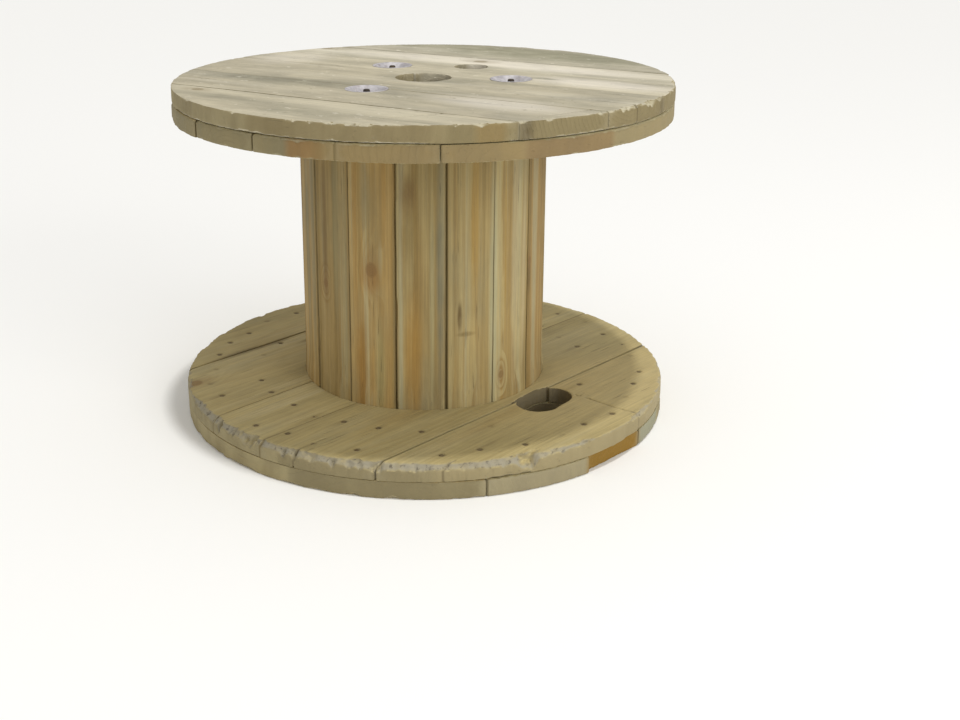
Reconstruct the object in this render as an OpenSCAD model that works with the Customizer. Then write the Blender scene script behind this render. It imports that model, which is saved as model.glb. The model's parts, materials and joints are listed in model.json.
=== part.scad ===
// Wooden cable drum: two flanges, each of two crossed plies of nailed boards,
// a barrel of staves seated in ring grooves, and tie rods that clamp them together.
// It stands on its lower flange. The origin is the centre of that flange's outer
// face and +Z runs up the barrel. All sizes are in millimetres.

/* [Flanges] */
// Diameter of each flange
flange_d = 710; // [600:5:900]
// Thickness of one ply of boards
ply_t = 24; // [20:1:32]
// Width between the flanges, where the cable is wound
winding_w = 388; // [250:1:560]

/* [Boards] */
// Gap between neighbouring boards of a ply
seam_gap = 1.2; // [0.4:0.2:3]
// Direction of the boards in the upper flange's outer ply, in degrees
top_outer_turn = -32; // [-90:1:90]
// Seams of that ply, as offsets from the flange's centre
top_outer_seams = [-225, -110, 25, 115, 205]; // [-270:1:270]
// Direction of the boards in the upper flange's inner ply
top_inner_turn = 58; // [-90:1:90]
// Seams of that ply
top_inner_seams = [-204, -89, 28, 145, 262]; // [-270:1:270]
// Direction of the boards in the lower flange's inner ply
bottom_inner_turn = 46; // [-90:1:90]
// Seams of that ply
bottom_inner_seams = [-197, -38, 68, 236]; // [-270:1:270]
// Direction of the boards in the lower flange's outer ply
bottom_outer_turn = -45; // [-90:1:90]
// Seams of that ply
bottom_outer_seams = [-188, -43, 72, 190]; // [-270:1:270]
// Which board of that ply ends in a square saw cut inside the rim
short_board = 3; // [1:1:5]
// How far inside the rim that board ends
short_by = 8; // [3:1:20]

/* [Barrel] */
// Outside diameter of the barrel
barrel_d = 358; // [290:1:440]
// Number of staves
stave_count = 16; // [12:1:20]
// Thickness of a stave
stave_t = 22; // [15:1:30]
// Direction of the first joint between staves, in degrees
stave_turn = 9.8; // [0:0.1:30]
// Width of a closed joint between staves
stave_gap = 1.4; // [0.6:0.2:3]
// Width of a joint that has dried open
open_gap = 4.6; // [2:0.2:7]
// Depth of the groove that each stave end seats in
groove_depth = 8; // [4:1:14]
// Clearance of a stave in its groove, on each side
groove_clearance = 0.3; // [0.1:0.1:1]

/* [Holes] */
// Diameter of the spindle hole in both flanges
spindle_d = 80; // [50:1:100]
// Diameter of the driving pin hole in both flanges
driver_d = 50; // [25:1:60]
// Direction of the driving pin hole, in degrees
driver_turn = 55; // [45:1:65]
// Width of the cable start hole in the lower flange
start_w = 60; // [30:1:70]
// Length of the cable start hole
start_len = 92; // [72:1:110]
// Direction of the cable start hole, in degrees
start_turn = -40; // [-60:1:-20]
// Wood left between the barrel and the cable start hole
start_land = 12; // [5:1:20]

/* [Tie rods] */
// Number of tie rods
rod_count = 3; // [3:1:3]
// Diameter of a tie rod
rod_d = 10; // [8:1:14]
// Diameter of the circle that the tie rods and driving pin hole lie on
rod_circle_d = 250; // [210:1:260]
// Direction of the first tie rod, in degrees
rod_turn = -8; // [-12:1:0]
// Clearance of a tie rod in its hole in the boards, on each side
rod_clearance = 1; // [0.5:0.1:2]
// How far a tie rod ends below the flange's face
rod_recess = 1; // [0.5:0.5:4]
// Size across flats of a nut
nut_af = 17; // [15:1:22]
// Height of a nut
nut_h = 8; // [5:1:9]
// Diameter of a cup washer at its lip, flush with the flange's face
cup_d = 60; // [48:1:70]
// Diameter of a cup washer's floor
cup_floor_d = 27; // [26:1:34]
// Depth of a cup washer
cup_depth = 16; // [12:1:17]
// Thickness of a cup washer's sheet
cup_t = 2.5; // [1.5:0.5:3]

/* [Nails] */
// Nails in the ring near each flange's rim, before those that meet a seam are left out
rim_nail_count = 36; // [12:1:48]
// Distance from the rim to that ring
rim_nail_inset = 37; // [20:1:45]
// Nails in the ring near the barrel, before those that meet a seam are left out
barrel_nail_count = 30; // [12:1:36]
// Distance from the barrel to that ring
barrel_nail_offset = 67; // [20:1:80]
// Diameter of a nail's shank
nail_d = 3.4; // [2.4:0.2:5]
// Diameter of a nail's head
nail_head_d = 8; // [5:0.5:10]
// Thickness of a nail's head
nail_head_t = 1.6; // [0.8:0.2:2.4]
// How far a nail's head is driven below the board's face
nail_sink = 1; // [0.2:0.2:3]
// Depth that a nail's point bites into the outer ply
nail_bite = 14; // [8:1:17]
// Largest stray of a hand-driven nail from its place in the ring
nail_stray = 5; // [0:1:8]
// Wood left between a nail and a seam or a hole
nail_land = 3; // [1:1:6]

/* [Hidden] */
// Cut past a face, so that no thin skin is left
past = 1;
// Play between steel pieces that are screwed or pressed together
fit_play = 0.1;
// Joints between staves that have dried open, counted from the first joint
open_joints = [9, 11, 12];

flange_r = flange_d / 2;
flange_t = 2 * ply_t;
drum_h = winding_w + 2 * flange_t;
barrel_r = barrel_d / 2;
stave_pitch = 360 / stave_count;
start_r = barrel_r + start_land + start_w / 2;
start_half = (start_len - start_w) / 2;
nail_len = ply_t + nail_bite - nail_sink - nail_head_t;
rim_nail_r = flange_r - rim_nail_inset;
barrel_nail_r = barrel_r + barrel_nail_offset;

// Offset of a place from the centre, measured across boards that run in one direction
function across(r, turn, board_turn) = r * sin(turn - board_turn);

// True where a round thing of one radius keeps clear of every seam of a ply
function off_seams(r, turn, board_turn, seams, keep) =
    min([for (s = seams) abs(across(r, turn, board_turn) - s)]) > keep;

// Distance from a place to the middle line of the cable start hole
function from_start_hole(r, turn) =
    let (out = r * cos(turn - start_turn) - start_r)
    let (along = max(0, abs(r * sin(turn - start_turn)) - start_half))
    norm([out, along]);

// A nail's place in its ring, as radius and direction
function nail_place(r, count, k) =
    [r + nail_stray * sin(k * 137), k * 360 / count + 4 + nail_stray / r * 57.3 * cos(k * 97)];

// Places of the nails of one ring in the upper flange
function top_nails(r, count) = [
    for (k = [0 : count - 1])
        let (p = nail_place(r, count, k))
        if (off_seams(p[0], p[1], top_inner_turn, top_inner_seams, nail_head_d / 2 + nail_land)
            && off_seams(p[0], p[1], top_outer_turn, top_outer_seams, nail_d / 2 + nail_land))
            p
];

// Places of the nails of one ring in the lower flange
function bottom_nails(r, count) = [
    for (k = [0 : count - 1])
        let (p = nail_place(r, count, k))
        if (off_seams(p[0], p[1], bottom_inner_turn, bottom_inner_seams, nail_head_d / 2 + nail_land)
            && off_seams(p[0], p[1], bottom_outer_turn, bottom_outer_seams, nail_d / 2 + nail_land)
            && from_start_hole(p[0], p[1]) > (start_w + nail_head_d) / 2 + nail_land)
            p
];

all_top_nails = concat(top_nails(rim_nail_r, rim_nail_count),
                       top_nails(barrel_nail_r, barrel_nail_count));
all_bottom_nails = concat(bottom_nails(rim_nail_r, rim_nail_count),
                          bottom_nails(barrel_nail_r, barrel_nail_count));

// Width of the joint before stave k
function joint_gap(k) = len(search(k % stave_count, open_joints)) > 0 ? open_gap : stave_gap;
// The same width as an angle at the barrel's outside
function joint_angle(k) = joint_gap(k) / barrel_r * 180 / PI;

// Names of numbered pieces
function numbered(name, count) = [for (i = [1 : count]) str(name, "_", i)];
function stave_name(i) = str("stave_", i < 10 ? "0" : "", i);

$fn = 96;

// Puts its children at one tie rod
module at_rod(i) {
    rotate([0, 0, rod_turn + (i - 1) * 360 / rod_count])
        translate([rod_circle_d / 2, 0, 0])
            children();
}

// Puts its children at a radius and direction
module at_place(p) {
    rotate([0, 0, p[1]])
        translate([p[0], 0, 0])
            children();
}

// One board of a ply whose lower face is at z = 0: a sawn strip cut to the round
module board_blank(seams, turn, i) {
    low = i == 1 ? -flange_r - past : seams[i - 2] + seam_gap / 2;
    high = i > len(seams) ? flange_r + past : seams[i - 1] - seam_gap / 2;
    intersection() {
        cylinder(r = flange_r, h = ply_t);
        rotate([0, 0, turn])
            translate([-flange_r - past, low, -past])
                cube([2 * (flange_r + past), high - low, ply_t + 2 * past]);
    }
}

// The straight holes that pass through both flanges
module through_holes() {
    translate([0, 0, -past])
        cylinder(d = spindle_d, h = drum_h + 2 * past);
    rotate([0, 0, driver_turn])
        translate([rod_circle_d / 2, 0, -past])
            cylinder(d = driver_d, h = drum_h + 2 * past);
    for (i = [1 : rod_count])
        at_rod(i)
            translate([0, 0, -past])
                cylinder(d = rod_d + 2 * rod_clearance, h = drum_h + 2 * past);
}

// The cable start hole, a round-ended slot through the lower flange along the barrel's side
module start_hole() {
    rotate([0, 0, start_turn])
        translate([start_r, 0, -past]) {
            for (side = [-1, 1])
                translate([0, side * start_half, 0])
                    cylinder(d = start_w, h = flange_t + 2 * past);
            translate([-start_w / 2, -start_half, 0])
                cube([start_w, 2 * start_half, flange_t + 2 * past]);
        }
}

// The seats of the cup washers, opening upward at the height z and cut on past it
module cup_seats(z) {
    past_d = cup_d + past * (cup_d - cup_floor_d) / cup_depth;
    for (i = [1 : rod_count])
        at_rod(i)
            translate([0, 0, z - cup_depth])
                cylinder(d1 = cup_floor_d, d2 = past_d, h = cup_depth + past);
}

// The ring groove for the stave ends, between two heights
module stave_groove(low, high) {
    rotate_extrude()
        translate([barrel_r - stave_t - groove_clearance, low])
            square([stave_t + 2 * groove_clearance, high - low]);
}

// A nail's hole, its head's upper face at z = 0 and its shank down, with the sunk pocket above
module nail_hole() {
    translate([0, 0, -nail_head_t - nail_len])
        cylinder(d = nail_d, h = nail_len + past, $fn = 24);
    translate([0, 0, -nail_head_t])
        cylinder(d = nail_head_d, h = nail_head_t + nail_sink + past, $fn = 24);
}

// A nail in the same place
module nail() {
    translate([0, 0, -nail_head_t - nail_len])
        cylinder(d = nail_d, h = nail_len + nail_head_t / 2, $fn = 24);
    translate([0, 0, -nail_head_t])
        cylinder(d = nail_head_d, h = nail_head_t, $fn = 24);
}

// The nail holes that a board between two offsets meets, driven down from the height z
module nail_holes_down(nails, z, board_turn, low, high) {
    for (p = nails)
        if (across(p[0], p[1], board_turn) > low && across(p[0], p[1], board_turn) < high)
            at_place(p)
                translate([0, 0, z - nail_sink])
                    nail_hole();
}

// The same, driven up from the height z
module nail_holes_up(nails, z, board_turn, low, high) {
    for (p = nails)
        if (across(p[0], p[1], board_turn) > low && across(p[0], p[1], board_turn) < high)
            at_place(p)
                translate([0, 0, z + nail_sink])
                    mirror([0, 0, 1])
                        nail_hole();
}

// Lower and upper offset of board i between the seams of its ply
function board_low(seams, i) = i == 1 ? -flange_r : seams[i - 2];
function board_high(seams, i) = i > len(seams) ? flange_r : seams[i - 1];

module top_outer_board(i) {
    color("#b9ab86")
        difference() {
            translate([0, 0, drum_h - ply_t])
                board_blank(top_outer_seams, top_outer_turn, i);
            through_holes();
            cup_seats(drum_h);
            nail_holes_up(all_top_nails, drum_h - flange_t, top_outer_turn,
                          board_low(top_outer_seams, i), board_high(top_outer_seams, i));
        }
}

module top_inner_board(i) {
    color("#8c7a45")
        difference() {
            translate([0, 0, drum_h - flange_t])
                board_blank(top_inner_seams, top_inner_turn, i);
            through_holes();
            stave_groove(drum_h - flange_t - past, drum_h - flange_t + groove_depth);
            nail_holes_up(all_top_nails, drum_h - flange_t, top_inner_turn,
                          board_low(top_inner_seams, i), board_high(top_inner_seams, i));
        }
}

module bottom_inner_board(i) {
    color("#9a8440")
        difference() {
            translate([0, 0, ply_t])
                board_blank(bottom_inner_seams, bottom_inner_turn, i);
            through_holes();
            start_hole();
            stave_groove(flange_t - groove_depth, flange_t + past);
            nail_holes_down(all_bottom_nails, flange_t, bottom_inner_turn,
                            board_low(bottom_inner_seams, i), board_high(bottom_inner_seams, i));
        }
}

module bottom_outer_board(i) {
    color("#8a7240")
        difference() {
            board_blank(bottom_outer_seams, bottom_outer_turn, i);
            through_holes();
            start_hole();
            mirror([0, 0, 1])
                cup_seats(0);
            nail_holes_down(all_bottom_nails, flange_t, bottom_outer_turn,
                            board_low(bottom_outer_seams, i), board_high(bottom_outer_seams, i));
            if (i == short_board)
                rotate([0, 0, bottom_outer_turn])
                    translate([flange_r - short_by, -flange_r, -past])
                        cube([short_by + past, flange_d, ply_t + 2 * past]);
        }
}

module stave(i) {
    start = stave_turn + (i - 1) * stave_pitch + joint_angle(i - 1) / 2;
    end = stave_turn + i * stave_pitch - joint_angle(i) / 2;
    color("#9c7a34")
        translate([0, 0, flange_t - groove_depth])
            rotate([0, 0, start])
                rotate_extrude(angle = end - start)
                    translate([barrel_r - stave_t, 0])
                        square([stave_t, winding_w + 2 * groove_depth]);
}

module tie_rod(i) {
    color("#3a3836")
        at_rod(i)
            translate([0, 0, rod_recess])
                cylinder(d = rod_d, h = drum_h - 2 * rod_recess);
}

// A pressed cup washer whose lip is at z = 0, with its floor below
module cup_washer() {
    slope = atan2((cup_d - cup_floor_d) / 2, cup_depth);
    lip_w = cup_t / cos(slope);
    hole_r = rod_d / 2 + fit_play;
    rotate_extrude()
        polygon([
            [hole_r, -cup_depth],
            [cup_floor_d / 2, -cup_depth],
            [cup_d / 2, 0],
            [cup_d / 2 - lip_w, 0],
            [cup_floor_d / 2 - lip_w + cup_t * tan(slope), cup_t - cup_depth],
            [hole_r, cup_t - cup_depth]
        ]);
}

module top_cup_washer(i) {
    color("#a9a7b4")
        at_rod(i)
            translate([0, 0, drum_h])
                cup_washer();
}

module bottom_cup_washer(i) {
    color("#a9a7b4")
        at_rod(i)
            mirror([0, 0, 1])
                cup_washer();
}

// A hexagon nut standing on z = 0
module nut() {
    difference() {
        cylinder(d = nut_af / cos(30), h = nut_h, $fn = 6);
        translate([0, 0, -past])
            cylinder(d = rod_d + 2 * fit_play, h = nut_h + 2 * past);
    }
}

module top_nut(i) {
    color("#b7b4bf")
        at_rod(i)
            translate([0, 0, drum_h - cup_depth + cup_t])
                nut();
}

module bottom_nut(i) {
    color("#b7b4bf")
        at_rod(i)
            translate([0, 0, cup_depth - cup_t - nut_h])
                nut();
}

// A ring of nails driven up into the upper flange
module top_ring(nails) {
    color("#4a4640")
        for (p = nails)
            at_place(p)
                translate([0, 0, drum_h - flange_t + nail_sink])
                    mirror([0, 0, 1])
                        nail();
}

// A ring of nails driven down into the lower flange
module bottom_ring(nails) {
    color("#4a4640")
        for (p = nails)
            at_place(p)
                translate([0, 0, flange_t - nail_sink])
                    nail();
}

module top_rim_nails() {
    top_ring(top_nails(rim_nail_r, rim_nail_count));
}

module top_barrel_nails() {
    top_ring(top_nails(barrel_nail_r, barrel_nail_count));
}

module bottom_rim_nails() {
    bottom_ring(bottom_nails(rim_nail_r, rim_nail_count));
}

module bottom_barrel_nails() {
    bottom_ring(bottom_nails(barrel_nail_r, barrel_nail_count));
}

for (i = [1 : len(top_outer_seams) + 1])
    top_outer_board(i);
for (i = [1 : len(top_inner_seams) + 1])
    top_inner_board(i);
for (i = [1 : len(bottom_inner_seams) + 1])
    bottom_inner_board(i);
for (i = [1 : len(bottom_outer_seams) + 1])
    bottom_outer_board(i);
for (i = [1 : stave_count])
    stave(i);
for (i = [1 : rod_count]) {
    tie_rod(i);
    top_cup_washer(i);
    bottom_cup_washer(i);
    top_nut(i);
    bottom_nut(i);
}
top_rim_nails();
top_barrel_nails();
bottom_rim_nails();
bottom_barrel_nails();
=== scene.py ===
"""Looks of the wooden cable drum: aged boards and staves, and its steel hardware.

Every board and stave is a worn copy of its CAD node. Its mesh is turned so that
the grain runs along X, aged there, and turned back. Lengths are in metres.
"""
import json
import math

import bmesh
import bpy
import numpy as np
from mathutils import Matrix, Vector


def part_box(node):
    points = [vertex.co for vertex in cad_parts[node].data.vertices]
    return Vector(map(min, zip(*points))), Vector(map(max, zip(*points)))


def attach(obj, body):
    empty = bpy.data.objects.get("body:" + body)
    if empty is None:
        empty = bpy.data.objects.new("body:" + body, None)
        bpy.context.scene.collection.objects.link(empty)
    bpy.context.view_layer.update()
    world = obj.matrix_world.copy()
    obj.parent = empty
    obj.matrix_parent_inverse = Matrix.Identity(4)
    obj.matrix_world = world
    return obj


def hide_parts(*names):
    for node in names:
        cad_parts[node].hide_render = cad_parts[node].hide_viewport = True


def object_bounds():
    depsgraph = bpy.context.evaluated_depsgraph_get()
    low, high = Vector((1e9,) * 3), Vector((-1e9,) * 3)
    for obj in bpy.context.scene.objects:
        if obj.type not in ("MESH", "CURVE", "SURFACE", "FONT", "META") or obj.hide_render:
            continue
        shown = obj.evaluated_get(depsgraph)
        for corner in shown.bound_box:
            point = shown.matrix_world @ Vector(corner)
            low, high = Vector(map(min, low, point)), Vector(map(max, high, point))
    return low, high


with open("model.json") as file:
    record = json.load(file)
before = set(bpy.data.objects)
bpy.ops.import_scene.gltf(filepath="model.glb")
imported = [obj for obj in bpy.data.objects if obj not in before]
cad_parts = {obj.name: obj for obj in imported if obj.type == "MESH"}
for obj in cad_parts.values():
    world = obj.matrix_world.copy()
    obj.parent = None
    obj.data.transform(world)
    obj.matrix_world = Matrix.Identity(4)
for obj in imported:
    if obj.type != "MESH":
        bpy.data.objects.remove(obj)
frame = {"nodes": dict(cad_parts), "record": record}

MM = 0.001
NODES = frame["nodes"]
CAD_LOW, CAD_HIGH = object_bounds()
FLANGE_R = (CAD_HIGH.x - CAD_LOW.x) / 2
WINDING_MIDDLE = CAD_HIGH.z / 2

# The voxels that a piece is rebuilt from before it is aged, how near an arris they round it off,
# the piece's triangles afterwards, and how near vertices are merged.
VOXEL = 2 * MM
ROUNDED_OFF = 0.65 * VOXEL
BOARD_TRIANGLES = 23000
STAVE_TRIANGLES = 10500
WELD_REACH = 0.03 * MM

# Edges of a wooden piece sharper than so many degrees stay sharp.
WOOD_CREASE = 42


# ---------------------------------------------------------------- numbers

def rgb(red, green, blue):
    """A colour given as 0 to 255 on a screen, as linear light."""
    def linear(v):
        v /= 255
        return v / 12.92 if v <= 0.04045 else ((v + 0.055) / 1.055) ** 2.4
    return (linear(red), linear(green), linear(blue), 1.0)


def scattered(cells, seed):
    """A fixed number from 0 to 1 for each whole-number cell (n, 3)."""
    mask = 0xFFFFFFFF
    h = (cells[:, 0] * 374761393 + cells[:, 1] * 668265263 + cells[:, 2] * 1442695041) & mask
    h = (h + seed * 1274126177) & mask
    h = ((h ^ (h >> 13)) * 1274126177) & mask
    h = ((h ^ (h >> 15)) * 2246822519 & 0x7FFFFFFFFFFF) & mask
    return ((h ^ (h >> 16)) & 0xFFFFFF) / 0xFFFFFF


def noise(points, per_metre, seed):
    """Smooth noise from -1 to 1 at points (n, 3), with so many cells a metre on each axis."""
    p = points * np.array(per_metre, float)
    base = np.floor(p).astype(np.int64)
    f = p - base
    f = f * f * (3 - 2 * f)
    total = np.zeros(len(p))
    for dx in (0, 1):
        for dy in (0, 1):
            for dz in (0, 1):
                share = (
                    (f[:, 0] if dx else 1 - f[:, 0])
                    * (f[:, 1] if dy else 1 - f[:, 1])
                    * (f[:, 2] if dz else 1 - f[:, 2])
                )
                total += share * scattered(base + (dx, dy, dz), seed)
    return total * 2 - 1


def turned(points, angle):
    """Points turned about the drum's axis."""
    c, s = math.cos(angle), math.sin(angle)
    return points @ np.array([[c, s, 0], [-s, c, 0], [0, 0, 1]])


def turned_place(place, angle):
    """One place in plan, turned about the drum's axis."""
    return turned(np.array([[*place, 0]]), angle)[0, :2]


def outward(points):
    """The way out from the drum's axis in plan at each point."""
    return points[:, :2] / np.maximum(np.hypot(points[:, 0], points[:, 1]), MM)[:, None]


def step(value, low, high):
    """0 below low, 1 above high, and smooth between."""
    t = np.clip((value - low) / (high - low), 0, 1)
    return t * t * (3 - 2 * t)


def window(angle, start, end, soft=6):
    """1 between two directions in degrees, 0 outside, with soft ends."""
    return step(angle, start - soft, start + soft) * (1 - step(angle, end - soft, end + soft))


# ---------------------------------------------------------------- meshes

def corners(mesh):
    """The mesh's vertices as rows of X, Y and Z."""
    co = np.empty(len(mesh.vertices) * 3)
    mesh.vertices.foreach_get("co", co)
    return co.reshape(-1, 3)


def set_corners(mesh, points):
    mesh.vertices.foreach_set("co", points.ravel())
    mesh.update()


def linked(name, data):
    """A new object in the scene."""
    obj = bpy.data.objects.new(name, data)
    bpy.context.scene.collection.objects.link(obj)
    return obj


def applied(obj):
    """The object's mesh becomes what its modifiers make of it."""
    graph = bpy.context.evaluated_depsgraph_get()
    made = bpy.data.meshes.new_from_object(obj.evaluated_get(graph))
    obj.modifiers.clear()
    obj.data = made


def rebuilt(obj, triangles_wanted, age):
    """Voxel copy of the object, aged at full detail and then thinned. age(points) moves points."""
    remesh = obj.modifiers.new("rebuild", "REMESH")
    remesh.mode = "VOXEL"
    remesh.voxel_size = VOXEL
    applied(obj)
    set_corners(obj.data, age(corners(obj.data)))
    weld = obj.modifiers.new("weld", "WELD")
    weld.merge_threshold = WELD_REACH
    applied(obj)
    triangles = sum(len(p.vertices) - 2 for p in obj.data.polygons)
    thin = obj.modifiers.new("thin", "DECIMATE")
    thin.ratio = min(1, triangles_wanted / triangles)
    applied(obj)


def attribute(mesh, name, values):
    """Stores a number or a vector for each vertex."""
    kind, field = ("FLOAT_VECTOR", "vector") if values.ndim == 2 else ("FLOAT", "value")
    layer = mesh.attributes.new(name, kind, "POINT")
    layer.data.foreach_set(field, np.ascontiguousarray(values, np.float32).ravel())


def smooth(mesh, degrees):
    """Smooth shading, but for edges sharper than so many degrees."""
    mesh.polygons.foreach_set("use_smooth", [True] * len(mesh.polygons))
    mesh.set_sharp_from_angle(angle=math.radians(degrees))


def finished(obj, material, slot, *stands_for):
    """Paints a piece, ties it to the drum's one body, and hides the CAD nodes it stands for."""
    obj.data.materials.clear()
    obj.data.materials.append(material)
    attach(obj, "root")
    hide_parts(*stands_for)


# ---------------------------------------------------------------- shader graphs

class Graph:
    """A material built from nodes. Inputs are sockets or plain values."""

    def __init__(self, name):
        self.material = bpy.data.materials.new(name)
        self.material.use_nodes = True
        self.tree = self.material.node_tree
        self.tree.nodes.clear()
        self.shader = self.add("ShaderNodeBsdfPrincipled")
        output = self.add("ShaderNodeOutputMaterial")
        self.tree.links.new(self.shader.outputs[0], output.inputs["Surface"])

    def add(self, kind, **settings):
        node = self.tree.nodes.new(kind)
        for key, value in settings.items():
            setattr(node, key, value)
        return node

    def feed(self, socket, value):
        if isinstance(value, bpy.types.NodeSocket):
            self.tree.links.new(value, socket)
        else:
            socket.default_value = value

    def stored(self, name):
        """What attribute() stored in the mesh."""
        return self.add("ShaderNodeAttribute", attribute_name=name).outputs["Vector"]

    def split(self, vector):
        node = self.add("ShaderNodeSeparateXYZ")
        self.feed(node.inputs[0], vector)
        return tuple(node.outputs)

    def joined(self, x=0.0, y=0.0, z=0.0):
        node = self.add("ShaderNodeCombineXYZ")
        for socket, value in zip(node.inputs, (x, y, z)):
            self.feed(socket, value)
        return node.outputs[0]

    def math(self, operation, a, b=0.0, c=0.0):
        node = self.add("ShaderNodeMath", operation=operation)
        for socket, value in zip(node.inputs, (a, b, c)):
            self.feed(socket, value)
        return node.outputs[0]

    def times(self, a, b):
        """The product of two numbers."""
        return self.math("MULTIPLY", a, b)

    def vector(self, operation, a, b=(0, 0, 0), c=(0, 0, 0)):
        node = self.add("ShaderNodeVectorMath", operation=operation)
        for socket, value in zip(node.inputs, (a, b, c)):
            self.feed(socket, value)
        return node.outputs["Value" if operation in ("LENGTH", "DOT_PRODUCT") else "Vector"]

    def noise(self, vector, detail, rough, w=0.0):
        """Noise from 0 to 1. w picks another pattern."""
        node = self.add("ShaderNodeTexNoise", noise_dimensions="4D")
        self.feed(node.inputs["Vector"], vector)
        self.feed(node.inputs["W"], w)
        self.feed(node.inputs["Scale"], 1.0)
        self.feed(node.inputs["Detail"], detail)
        self.feed(node.inputs["Roughness"], rough)
        return node.outputs[0]

    def ramp(self, value, low, high, to_low=0.0, to_high=1.0):
        """Smooth step of a value from one range to another."""
        node = self.add("ShaderNodeMapRange", interpolation_type="SMOOTHSTEP")
        for key, number in (("Value", value), ("From Min", low), ("From Max", high),
                            ("To Min", to_low), ("To Max", to_high)):
            self.feed(node.inputs[key], number)
        return node.outputs[0]

    def mix(self, amount, a, b, blend="MIX"):
        node = self.add("ShaderNodeMix", data_type="RGBA", blend_type=blend)
        self.feed(node.inputs[0], amount)
        self.feed(node.inputs[6], a)
        self.feed(node.inputs[7], b)
        return node.outputs[2]

    def grey(self, value):
        node = self.add("ShaderNodeCombineColor")
        for socket in node.inputs[:3]:
            self.feed(socket, value)
        return node.outputs[0]

    def spot(self, place, centre, size, turn):
        """1 in the middle of a soft-edged patch and 0 outside it. turn is in degrees."""
        node = self.add("ShaderNodeMapping", vector_type="TEXTURE")
        self.feed(node.inputs["Vector"], place)
        node.inputs["Location"].default_value = (*centre, 0)
        node.inputs["Rotation"].default_value = (0, 0, math.radians(turn))
        node.inputs["Scale"].default_value = (*size, 1)
        x, y, _ = self.split(node.outputs[0])
        reach = self.vector("LENGTH", self.joined(x, y))
        return self.ramp(reach, 1.0, 0.25)

    def bump(self, height, distance, strength):
        """Relief so many metres deep."""
        node = self.add("ShaderNodeBump")
        self.feed(node.inputs["Height"], height)
        node.inputs["Distance"].default_value = distance
        node.inputs["Strength"].default_value = strength
        self.feed(self.shader.inputs["Normal"], node.outputs[0])


# Cells a metre of the wood's patterns, along, across and through the grain.
FIBRE = (9, 430, 430)
HAIR = (22, 1300, 1300)
CLOUD = (5, 9, 9)
BLOTCH = (14, 30, 30)
CHECK = (17, 520, 520)
GRIME = (90, 160, 160)
PORES = (520, 520, 520)
END_STREAK = (26, 26, 8)
RING_SWAY = (2.6, 11, 11)
RING_WOBBLE = (9, 60, 60)
RING_STRENGTH = (1.4, 40, 40)
KNOT_CELLS = (3.4, 9.5, 0)

# How far apart two boards lie in their patterns, the rings inside a knot, how far a knot bends
# the rings round it, and the soft ends of a rim's patches in degrees.
BOARD_SHIFT = 37.0
KNOT_RING = 1.7 * MM
KNOT_BEND = 26 * MM
RIM_SOFT = 1.2


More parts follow.
